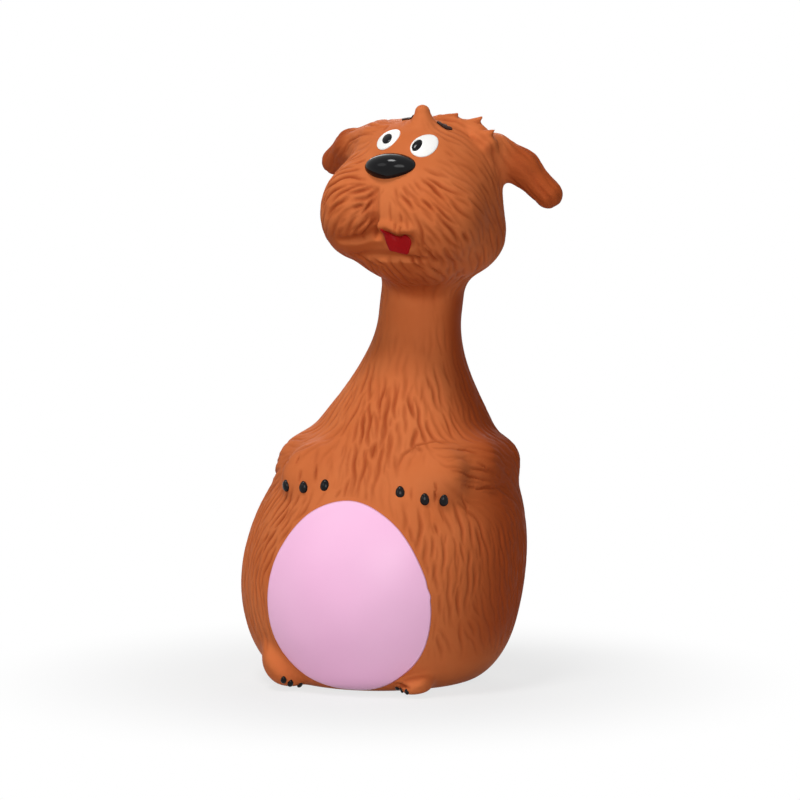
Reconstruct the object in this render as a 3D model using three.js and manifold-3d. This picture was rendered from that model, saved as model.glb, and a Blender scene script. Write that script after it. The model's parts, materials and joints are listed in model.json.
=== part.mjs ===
// Squeaky dog toy: a hollow latex dog, filled with wadding, with a reed squeaker in its base.
// Millimetres, +Z up. The dog faces -Y, and its left side is +X. The origin is the middle of the base.
import * as THREE from 'three';
import { mergeVertices } from 'three/addons/utils/BufferGeometryUtils.js';
import Module from 'manifold-3d';

const wasm = await Module();
wasm.setup();

// Latex moulding and fits
const wall = 2.0;
const fitGap = 0.3;
const coatThickness = 0.5;

// Body, a pear on a leaning spine
const baseRadius = 17.8;
const bellyHeight = 23.7;
const bellyHalfWidth = 31.9;
const bellyFrontDepth = 30.7;
const bellyBackDepth = 29.9;
const neckRadius = 9.3;
const shoulderFullness = 1.2;
const leanSlope = 0.121;
const leanStart = 20.6;
const leanBlend = 10.3;
const baseForward = 1;
const neckSetback = 5.2;

// Ball of the neck, where it bends, and the heights that go with it
const neckBallHeight = 82.4;
const neckBallRadius = 10.3;
const throatDrop = 0.4;
const headRise = 4.1;
const throatHeight = neckBallHeight - throatDrop;
const neckHeight = neckBallHeight + headRise;

// Head, in its own frame at the top of the neck
const headRoll = 5.5;
const headYaw = -6;
const skull = { centre: [0, -6.7, 24.7], radii: [17.7, 17.5, 15] };
const jaw = { centre: [2.2, -5.2, 14.6], radii: [17.2, 16, 11.8] };
const muzzleLobe = { centre: [7.8, -16.5, 18], radii: [10.7, 11.3, 11.2] };
const chin = { centre: [1, -12.9, 7.2], radii: [10.3, 9.3, 6.2] };
const jawBlend = 5.2;
const muzzleBlend = 4.1;
const headCentre = [0, -8.2, 18.5];

// Ears, bent lobes that hang from a ball root seated on the skull
const earDirection = [16.5, 5.7, 8.6];
const earMiddleReach = [4.4, 1.2, -2.2];
const earTipReach = [9.2, 2.3, -8.2];
const earRootRadius = 3.1;
const earMiddleRadius = 4.1;
const earTipRadius = 3.2;

// Front paws, folded over the chest. A limb's places are degrees round the body from its side,
// towards the back, a height, and a depth under the skin.
const elbow = { around: 5.6, height: 49, depth: 3.27 };
const forearm = { around: -26, height: 49.6, depth: 3.03 };
const wrist = { around: -50.15, height: 49.4, depth: 2.5 };
const elbowRadius = 5.1;
const forearmRadius = 5.3;
const wristRadius = 4.8;
const pawCentre = { around: -56.25, height: 47.6, depth: 1.5 };
const pawRadii = [7.1, 4.7, 5.8];

// Hind feet
const footCentre = { around: -55.95, height: 5.6, depth: 2.97 };
const footRadii = [6.6, 6.8, 5.5];

// Claws, three to a paw
const clawRadii = [1, 0.9, 1.4];
const pawClawSpread = 4.7;
const pawClawHeight = -2.9;
const footClawSpread = 2.8;
const footClawHeight = -2.9;

// Belly, an egg-shaped panel
const bellyPanelHalfWidth = 18.6;
const bellyPanelBottom = 3.2;
const bellyPanelTop = 43.2;
const bellyPanelTaper = 0.1;
const bellyTravel = 8;

// Face, placed by sideways and upward distance on the head
const nosePlace = [0, 28.4];
const noseRadii = [5.5, 3.6, 2.9];
const noseProud = 1.4;
const noseTilt = 6;
const eyeHalfWidth = 2.7;
const eyeHalfHeight = 2.3;
const eyeSpacing = 8.7;
const eyeHeight = 33.9;
const pupilRadius = 1;
const pupilInset = 0.8;
const browHalfLength = 2.1;
const browHalfHeight = 0.75;
const browSpacing = 10;
const browPlace = [-13, 38.2];
const browSlope = 53;
const tongueHalfWidth = 3.1;
const tongueHalfHeight = 2.2;
const tonguePlace = [1.6, 12.8];

// Hair on the crown, placed by sideways and backward distance on the head
const lockRootDepth = 1;
const hairLocks = [
  { name: 'hair_tuft', place: [0.4, -12.8], lean: [-0.4, -0.3, 4.2], radius: 2.2 },
  { name: 'crest_lock_front', place: [6, -7.2], lean: [0.9, 0.5, 3.4], radius: 1.8 },
  { name: 'crest_lock_middle', place: [10.6, -5.6], lean: [1.3, 0.8, 3], radius: 1.7 },
  { name: 'crest_lock_side', place: [13.4, -8.2], lean: [1.4, 0.6, 2.4], radius: 1.6 },
];

// Squeaker in the base
const plugRadius = 9;
const plugFlangeRadius = 11;
const plugFlangeThickness = 1.2;
const plugFloor = 1.6;
const plugWall = 1.6;
const plugHeight = 9;
const airHoleRadius = 1;
const airHoleCircle = 5;
const airHoleCount = 6;
const reedPlateThickness = 1.4;
const reedSlotLength = 8;
const reedSlotWidth = 3;
const reedLength = 10.5;
const reedWidth = 2.4;
const reedThickness = 0.35;
const clampLength = 2.6;
const clampWidth = 5;
const clampHeight = 1.6;
const squeakerRoom = 2.4;

// Steps of the faceted surfaces
const bodySides = 32;
const bodyBands = 16;
const innerSides = 16;
const innerBands = 10;
const headSides = 32;
const headBands = 18;
const limbSides = 12;
const ballSides = 20;

// Where a ray starts, well outside every form
const farOutside = 2 * bellyHalfWidth;

const colours = {
  latex: 0xb4572c,
  pink: 0xf0a9d4,
  black: 0x0c0a0a,
  white: 0xf4efe8,
  red: 0xb0181c,
  brow: 0x2a130b,
  wadding: 0xe9e4d8,
  plug: 0xe8e6df,
  brass: 0xb08d45,
};

const vec = (x, y, z) => new THREE.Vector3(x, y, z);
const fromArray = (a) => new THREE.Vector3(...a);
const clamp01 = (t) => Math.min(Math.max(t, 0), 1);
const smoothstep = (t) => clamp01(t) ** 2 * (3 - 2 * clamp01(t));

// Spine and body section

function spine(z) {
  const run = Math.max(z - leanStart + leanBlend, 0);
  const bent = run < 2 * leanBlend ? (run * run) / (4 * leanBlend) : run - leanBlend;
  const rise = smoothstep((z - leanStart) / (neckBallHeight - leanStart));
  return vec(leanSlope * bent, (baseForward + neckSetback) * rise - baseForward, z);
}

// Radius at height z that starts at the base, swells to the belly and narrows to the neck.
function pearRadius(z, fullRadius) {
  if (z < bellyHeight) {
    const down = 1 - Math.max(z, 0) / bellyHeight;
    return baseRadius + (fullRadius - baseRadius) * Math.sqrt(1 - down * down);
  }
  const up = clamp01((z - bellyHeight) / (throatHeight - bellyHeight)) ** shoulderFullness;
  return neckRadius + (fullRadius - neckRadius) * (0.5 + 0.5 * Math.cos(Math.PI * up));
}

function bodyPoint(z, angle, grow) {
  const depth = Math.sin(angle) < 0 ? bellyFrontDepth : bellyBackDepth;
  const across = (pearRadius(z, bellyHalfWidth) + grow) * Math.cos(angle);
  const along = (pearRadius(z, depth) + grow) * Math.sin(angle);
  return spine(z).add(vec(across, along, 0));
}

// Closed solids from rings

function triangles(points, faces) {
  const geometry = new THREE.BufferGeometry();
  geometry.setAttribute('position', new THREE.Float32BufferAttribute(points.flatMap((p) => p.toArray()), 3));
  geometry.setIndex(faces);
  return geometry;
}

// Rings run upwards and anticlockwise about the stack, which ends in a point below and above.
function closedLoft(start, rings, end) {
  const sides = rings[0].length;
  const points = [start, ...rings.flat(), end];
  const faces = [];
  const at = (ring, side) => 1 + ring * sides + (side % sides);
  for (let s = 0; s < sides; s += 1) {
    faces.push(0, at(0, s + 1), at(0, s));
    faces.push(points.length - 1, at(rings.length - 1, s), at(rings.length - 1, s + 1));
  }
  for (let r = 0; r + 1 < rings.length; r += 1) {
    for (let s = 0; s < sides; s += 1) {
      faces.push(at(r, s), at(r, s + 1), at(r + 1, s + 1));
      faces.push(at(r, s), at(r + 1, s + 1), at(r + 1, s));
    }
  }
  return triangles(points, faces);
}

function middle(ring) {
  return ring.reduce((sum, p) => sum.add(p), vec(0, 0, 0)).divideScalar(ring.length);
}

function turn(step, steps) {
  return (2 * Math.PI * step) / steps;
}

function range(count) {
  return Array.from({ length: count }, (_, i) => i);
}

function pearLoft(bottom, top, sides, bands, grow) {
  const rings = range(bands + 1).map((band) => {
    const t = band / bands;
    const z = bottom + (top - bottom) * t ** 1.25;
    return range(sides).map((side) => bodyPoint(z, turn(side, sides), grow));
  });
  return closedLoft(middle(rings[0]), rings, middle(rings[bands]));
}

// Booleans

function solid(geometry) {
  const bare = geometry.clone();
  bare.deleteAttribute('normal');
  bare.deleteAttribute('uv');
  const merged = mergeVertices(bare, 1e-4);
  return new wasm.Manifold(new wasm.Mesh({
    numProp: 3,
    vertProperties: new Float32Array(merged.attributes.position.array),
    triVerts: new Uint32Array(merged.index.array),
  }));
}

function surface(body) {
  const mesh = body.getMesh();
  const geometry = new THREE.BufferGeometry();
  const position = new Float32Array(mesh.numVert * 3);
  for (let v = 0; v < mesh.numVert; v += 1) {
    for (let k = 0; k < 3; k += 1) position[3 * v + k] = mesh.vertProperties[v * mesh.numProp + k];
  }
  geometry.setAttribute('position', new THREE.BufferAttribute(position, 3));
  geometry.setIndex(Array.from(mesh.triVerts));
  return geometry;
}

const join = (first, ...rest) => rest.reduce((whole, next) => whole.add(next), first);
const cut = (first, ...rest) => rest.reduce((whole, next) => whole.subtract(next), first);
const moved = (body, x, y, z) => body.translate([x, y, z]);

function ellipsoidSolid(centre, radii, sides, frame = new THREE.Matrix4()) {
  const geometry = new THREE.SphereGeometry(1, sides, Math.ceil(sides / 2));
  geometry.rotateX(Math.PI / 2);
  geometry.scale(...radii);
  geometry.translate(...centre);
  geometry.applyMatrix4(frame);
  return solid(geometry);
}

function sphereSolid(centre, radius, sides = ballSides) {
  return ellipsoidSolid(centre.toArray(), [radius, radius, radius], sides);
}

function cylinderSolid(radius, bottom, top, sides, x = 0, y = 0) {
  const geometry = new THREE.CylinderGeometry(radius, radius, top - bottom, sides);
  geometry.rotateX(Math.PI / 2);
  geometry.translate(x, y, (bottom + top) / 2);
  return solid(geometry);
}

function boxSolid(width, depth, height, x, y, z) {
  return solid(new THREE.BoxGeometry(width, depth, height).translate(x, y, z));
}

// Rounded tube of changing radius through a few centres
function lobeSolid(centres, radii, sides, bands, grow) {
  const path = new THREE.CatmullRomCurve3(centres.map(fromArray));
  const reach = radii.map((r) => r + grow);
  const axis = path.getTangent(0.5);
  const across = Math.abs(axis.z) > 0.8 ? vec(1, 0, 0) : vec(0, 0, 1).cross(axis).normalize();
  const radiusAt = (t) => {
    const span = t * (reach.length - 1);
    const i = Math.min(Math.floor(span), reach.length - 2);
    return THREE.MathUtils.lerp(reach[i], reach[i + 1], span - i);
  };
  const ring = (centre, tangent, radius) => {
    const up = tangent.clone().cross(across).normalize();
    const side = up.clone().cross(tangent).normalize();
    return range(sides).map((s) => centre.clone()
      .addScaledVector(side, radius * Math.cos(turn(s, sides)))
      .addScaledVector(up, radius * Math.sin(turn(s, sides))));
  };
  const capped = (t, sign) => [30, 60].map((degrees) => {
    const tilt = THREE.MathUtils.degToRad(degrees);
    const tangent = path.getTangent(t);
    const centre = path.getPoint(t).addScaledVector(tangent, sign * radiusAt(t) * Math.sin(tilt));
    return ring(centre, tangent, radiusAt(t) * Math.cos(tilt));
  });
  const along = range(bands + 1).map((b) => {
    const t = b / bands;
    return ring(path.getPoint(t), path.getTangent(t), radiusAt(t));
  });
  const rings = [...capped(0, -1).reverse(), ...along, ...capped(1, 1)];
  const start = path.getPoint(0).addScaledVector(path.getTangent(0), -radiusAt(0));
  const end = path.getPoint(1).addScaledVector(path.getTangent(1), radiusAt(1));
  return solid(closedLoft(start, rings, end));
}

// Head form

const headFrame = new THREE.Matrix4()
  .makeRotationY(THREE.MathUtils.degToRad(headRoll))
  .multiply(new THREE.Matrix4().makeRotationZ(THREE.MathUtils.degToRad(headYaw)));
headFrame.setPosition(spine(neckHeight));

// Nearly the distance from a point to an ellipsoid, negative inside
function ellipsoidField(p, { centre, radii }) {
  const q = p.clone().sub(fromArray(centre));
  const once = q.clone().divide(fromArray(radii));
  const twice = once.clone().divide(fromArray(radii));
  return (once.length() * (once.length() - 1)) / Math.max(twice.length(), 1e-9);
}

function softUnion(a, b, blend) {
  const h = clamp01(0.5 + (0.5 * (b - a)) / blend);
  return b + (a - b) * h - blend * h * (1 - h);
}

function headField(p) {
  const mirrored = vec(Math.abs(p.x), p.y, p.z);
  const crown = softUnion(ellipsoidField(p, skull), ellipsoidField(p, jaw), jawBlend);
  const face = softUnion(crown, ellipsoidField(mirrored, muzzleLobe), muzzleBlend);
  return softUnion(face, ellipsoidField(p, chin), muzzleBlend);
}

// Distance along a ray to where a field reaches a level, looking in from far
function reachAlong(origin, direction, far, level, field) {
  let outer = far;
  const at = (d) => field(origin.clone().addScaledVector(direction, d));
  while (at(outer) > level && outer > -far) outer -= 1;
  let near = outer;
  let away = outer + 1;
  for (let i = 0; i < 24; i += 1) {
    const half = (near + away) / 2;
    if (at(half) > level) away = half;
    else near = half;
  }
  return near;
}

function headSolid(sides, bands, level) {
  const origin = fromArray(headCentre);
  const towards = (polar, angle) => {
    const out = Math.sin(polar);
    const direction = vec(out * Math.cos(angle), out * Math.sin(angle), -Math.cos(polar));
    const reach = reachAlong(origin, direction, farOutside, level, headField);
    return origin.clone().addScaledVector(direction, reach);
  };
  const rings = range(bands - 1).map((band) => {
    const polar = (Math.PI * (band + 1)) / bands;
    return range(sides).map((side) => towards(polar, turn(side, sides)));
  });
  const geometry = closedLoft(towards(0, 0), rings, towards(Math.PI, 0));
  return solid(geometry.applyMatrix4(headFrame));
}

// Thin coat on a field, seen along a ray direction, with an outline around its centre
function coat(field, origin, inward, across, outline, lower, upper, bands, frame) {
  const up = inward.clone().negate().cross(across).normalize();
  const sides = 16;
  const place = (angle, share, level) => {
    const [u, v] = outline(angle);
    const from = origin.clone().addScaledVector(across, share * u).addScaledVector(up, share * v);
    const outward = inward.clone().negate();
    return from.addScaledVector(outward, reachAlong(from, outward, farOutside, level, field));
  };
  const ring = (share, level) => range(sides).map((s) => place(turn(s, sides), share, level));
  const shares = range(bands).map((b) => (b + 1) / bands);
  const under = shares.map((share) => ring(share, lower));
  const over = shares.map((share) => ring(share, upper)).reverse();
  const geometry = closedLoft(place(0, 0, lower), [...under, ...over], place(0, 0, upper));
  return frame ? geometry.applyMatrix4(frame) : geometry;
}

// Model pieces

const group = new THREE.Group();

function add(name, body, colour, roughness, metalness = 0) {
  const geometry = body.isBufferGeometry ? body : surface(body);
  const finish = new THREE.MeshStandardMaterial({ color: colour, roughness, metalness });
  const mesh = new THREE.Mesh(geometry, finish);
  mesh.name = name;
  group.add(mesh);
}

const ballCentre = spine(neckBallHeight);
const outsideBall = sphereSolid(ballCentre, neckBallRadius + fitGap / 2);
const insideBall = sphereSolid(ballCentre, neckBallRadius - fitGap / 2);
const neckReach = neckBallRadius + 2;
const neckTop = neckHeight + neckReach;

const bodyOuter = solid(pearLoft(0, neckBallHeight, bodySides, bodyBands, 0));
const bodyInner = solid(pearLoft(wall, neckBallHeight + 1, innerSides, innerBands, -wall));
const bodyFill = solid(pearLoft(wall + fitGap, neckBallHeight + 1, innerSides, innerBands, -wall - fitGap));
const bodyGrown = solid(pearLoft(-fitGap, neckBallHeight, bodySides, bodyBands, fitGap));
const neckTube = (grow) => solid(pearLoft(neckBallHeight - neckReach, neckTop, innerSides, 6, grow));
const upperTube = (grow) => solid(pearLoft(neckBallHeight, neckTop, innerSides, 4, grow));

// Belly panel

const bellyMiddle = (bellyPanelTop + bellyPanelBottom) / 2;
const bellyHalfHeight = (bellyPanelTop - bellyPanelBottom) / 2;

function bellyOutline(angle, inset) {
  const u = (bellyPanelHalfWidth - inset) * Math.cos(angle) * (1 - bellyPanelTaper * Math.sin(angle));
  return [u, (bellyHalfHeight - inset) * Math.sin(angle)];
}

function bellyPrism(inset) {
  const ring = (y) => range(32).map((s) => {
    const [u, v] = bellyOutline(turn(s, 32), inset);
    return vec(u, y, bellyMiddle + v);
  });
  const near = ring(-2 * bellyFrontDepth);
  const far = ring(0);
  return solid(closedLoft(middle(far), [far, near], middle(near)));
}

function bodyField(p) {
  const c = spine(p.z);
  const depth = p.y < c.y ? bellyFrontDepth : bellyBackDepth;
  const a = pearRadius(p.z, bellyHalfWidth);
  const b = pearRadius(p.z, depth);
  return (Math.hypot((p.x - c.x) / a, (p.y - c.y) / b) - 1) * Math.min(a, b);
}

const bellyWindow = bellyPrism(0);
const bellyPlug = bellyPrism(fitGap);
const baseHole = cylinderSolid(plugRadius + fitGap, -1, wall + 1, 40);
const bodyShell = cut(bodyOuter, bodyInner, outsideBall, baseHole);

add('body_skin', cut(bodyShell, bellyWindow), colours.latex, 0.55);
add('belly_wall', bodyShell.intersect(bellyPlug), colours.latex, 0.55);
const bellyOrigin = vec(0, 0, bellyMiddle);
const bellyEdge = (angle) => bellyOutline(angle, fitGap);
add('belly_coat', coat(bodyField, bellyOrigin, vec(0, 1, 0), vec(1, 0, 0), bellyEdge,
  fitGap, fitGap + coatThickness, 5), colours.pink, 0.45);

// Neck and head

const bore = neckTube(-wall);
add('neck_skin', cut(neckTube(0).intersect(insideBall), bore), colours.latex, 0.55);

const headOuter = join(headSolid(headSides, headBands, 0), upperTube(0));
const headInner = join(headSolid(innerSides, innerBands, -wall), upperTube(-wall));
const headGrown = headSolid(headSides, headBands, fitGap);

const earRootLevel = earRootRadius + fitGap;

function earSolid(side) {
  const aim = vec(side * earDirection[0], earDirection[1], earDirection[2]).normalize();
  const root = fromArray(skull.centre);
  root.addScaledVector(aim, reachAlong(root, aim, farOutside, earRootLevel, headField));
  const onEar = (reach) => [root.x + side * reach[0], root.y + reach[1], root.z + reach[2]];
  const centres = [[0, 0, 0], earMiddleReach, earTipReach].map(onEar);
  return lobeSolid(centres, [earRootRadius, earMiddleRadius, earTipRadius], limbSides, 8, 0)
    .transform(headFrame.toArray());
}

add('head_skin', cut(headOuter, headInner, outsideBall), colours.latex, 0.55);
add('left_ear', earSolid(1), colours.latex, 0.55);
add('right_ear', earSolid(-1), colours.latex, 0.55);

// Limbs

function limbPlace(side, { around, height, depth }) {
  const angle = THREE.MathUtils.degToRad(side > 0 ? around : 180 - around);
  return bodyPoint(height, angle, -depth).toArray();
}

function frontPaw(side, grow) {
  const arm = lobeSolid([elbow, forearm, wrist].map((p) => limbPlace(side, p)),
    [elbowRadius, forearmRadius, wristRadius], limbSides, 5, grow);
  return join(arm, ellipsoidSolid(limbPlace(side, pawCentre), pawRadii.map((r) => r + grow), 16));
}

function hindFoot(side, grow) {
  return ellipsoidSolid(limbPlace(side, footCentre), footRadii.map((r) => r + grow), 20);
}

const limbs = { left: 1, right: -1 };
const clawNames = ['inner', 'middle', 'outer'];

// Claws sit half proud of whichever surface is in front, the paw's or the body's.
function claws(side, name, limb, spread, height, limbGrown) {
  const front = (p) => Math.min(ellipsoidField(p, limb), bodyField(p));
  const forward = vec(0, -1, 0);
  clawNames.forEach((position, i) => {
    const from = vec(limb.centre[0] + side * spread * (i - 1), 0, limb.centre[2] + height);
    const point = from.clone().addScaledVector(forward, reachAlong(from, forward, farOutside, 0, front));
    add(`${name}_claw_${position}`, cut(ellipsoidSolid(point.toArray(), clawRadii, 10), limbGrown, bodyGrown),
      colours.black, 0.2);
  });
}

for (const [word, side] of Object.entries(limbs)) {
  add(`${word}_front_paw`, cut(frontPaw(side, 0), bodyGrown), colours.latex, 0.55);
  const paw = { centre: limbPlace(side, pawCentre), radii: pawRadii };
  claws(side, `${word}_front`, paw, pawClawSpread, pawClawHeight, frontPaw(side, fitGap));
  add(`${word}_hind_foot`, cut(hindFoot(side, 0), bodyGrown, bellyWindow), colours.latex, 0.55);
  const foot = { centre: limbPlace(side, footCentre), radii: footRadii };
  claws(side, `${word}_hind`, foot, footClawSpread, footClawHeight, hindFoot(side, fitGap));
}

// Face

function noseSolid() {
  const from = vec(nosePlace[0], 0, nosePlace[1]);
  const forward = vec(0, -1, 0);
  from.addScaledVector(forward, reachAlong(from, forward, farOutside, noseProud, headField));
  const frame = headFrame.clone().multiply(new THREE.Matrix4().makeTranslation(from))
    .multiply(new THREE.Matrix4().makeRotationY(THREE.MathUtils.degToRad(-noseTilt)));
  return cut(ellipsoidSolid([0, 0, 0], noseRadii, 16, frame), headGrown);
}

add('nose', noseSolid(), colours.black, 0.12);

// The slope is how far the coat faces up from straight ahead, in degrees.
function faceCoat(name, [x, y, z], slope, outline, lower, colour, roughness) {
  const tilt = THREE.MathUtils.degToRad(slope);
  const inward = vec(0, Math.cos(tilt), -Math.sin(tilt));
  add(name, coat(headField, vec(x, y, z), inward, vec(1, 0, 0), outline, lower, lower + coatThickness, 2,
    headFrame), colour, roughness);
}

const oval = (width, height) => (angle) => [width * Math.cos(angle), height * Math.sin(angle)];
const pupilLevel = fitGap + coatThickness + fitGap;
for (const [word, side] of Object.entries(limbs)) {
  const eye = [(side * eyeSpacing) / 2, 0, eyeHeight];
  const pupil = [eye[0] - side * pupilInset, 0, eyeHeight];
  const brow = [(side * browSpacing) / 2, ...browPlace];
  faceCoat(`${word}_eye_white`, eye, 0, oval(eyeHalfWidth, eyeHalfHeight), fitGap, colours.white, 0.35);
  faceCoat(`${word}_pupil`, pupil, 0, oval(pupilRadius, pupilRadius), pupilLevel, colours.black, 0.25);
  faceCoat(`${word}_brow`, brow, browSlope, oval(browHalfLength, browHalfHeight), fitGap, colours.brow, 0.6);
}
const tongue = [tonguePlace[0], 0, tonguePlace[1]];
faceCoat('tongue', tongue, 0, oval(tongueHalfWidth, tongueHalfHeight), fitGap, colours.red, 0.35);

// Hair

function lock({ place, lean, radius }) {
  const above = vec(place[0], place[1], skull.centre[2]);
  const root = above.clone();
  root.z += reachAlong(above, vec(0, 0, 1), farOutside, -lockRootDepth, headField);
  const along = (share) => root.clone().addScaledVector(fromArray(lean), share).toArray();
  return cut(lobeSolid([0, 0.55, 1].map(along), [radius, 0.62 * radius, 0.18 * radius], 8, 3, 0)
    .transform(headFrame.toArray()), headGrown);
}

hairLocks.forEach((one) => add(one.name, lock(one), colours.latex, 0.55));

// Wadding

const squeakerTop = plugHeight + reedPlateThickness + reedThickness + clampHeight + 3 * fitGap;
const squeakerSpace = cylinderSolid(plugFlangeRadius + fitGap, -1, squeakerTop + squeakerRoom, 24);
const pressedWall = moved(bodyInner, 0, bellyTravel + fitGap, 0);
const pressRoom = cut(bellyPrism(-fitGap), pressedWall);
add('body_stuffing', cut(bodyFill, outsideBall, squeakerSpace, pressRoom), colours.wadding, 0.95);
add('neck_stuffing', neckTube(-wall - fitGap).intersect(insideBall), colours.wadding, 0.95);
const headFill = join(headSolid(innerSides, innerBands, -wall - fitGap), upperTube(-wall - fitGap));
add('head_stuffing', cut(headFill, outsideBall), colours.wadding, 0.95);

// Squeaker

const flangeBottom = wall + fitGap;
const airHoles = range(airHoleCount).map((i) => cylinderSolid(airHoleRadius, -1, plugFloor + 1, 10,
  airHoleCircle * Math.cos(turn(i, airHoleCount)), airHoleCircle * Math.sin(turn(i, airHoleCount))));
const plugBody = join(cylinderSolid(plugRadius, 0, plugHeight, 40),
  cylinderSolid(plugFlangeRadius, flangeBottom, flangeBottom + plugFlangeThickness, 40));
const plugBore = cylinderSolid(plugRadius - plugWall, plugFloor, plugHeight + 1, 40);
add('squeaker_plug', cut(plugBody, plugBore, ...airHoles), colours.plug, 0.4);

const plateBottom = plugHeight + fitGap;
const plateTop = plateBottom + reedPlateThickness;
const slot = boxSolid(reedSlotWidth, reedSlotLength, 4 * reedPlateThickness, 0, 0, plateTop);
add('reed_plate', cut(cylinderSolid(plugRadius, plateBottom, plateTop, 40), slot), colours.plug, 0.4);

const reedMiddle = plateTop + fitGap + reedThickness / 2;
const reedRoot = reedSlotLength / 2;
const reedEnd = reedRoot + clampLength / 2;
add('squeaker_reed', boxSolid(reedWidth, reedLength, reedThickness, 0, reedEnd - reedLength / 2, reedMiddle),
  colours.brass, 0.3, 1);
const clampBottom = reedMiddle + reedThickness / 2 + fitGap;
add('reed_clamp', boxSolid(clampWidth, clampLength, clampHeight, 0, reedRoot + clampLength / 2,
  clampBottom + clampHeight / 2), colours.plug, 0.4);

export default group;
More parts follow.
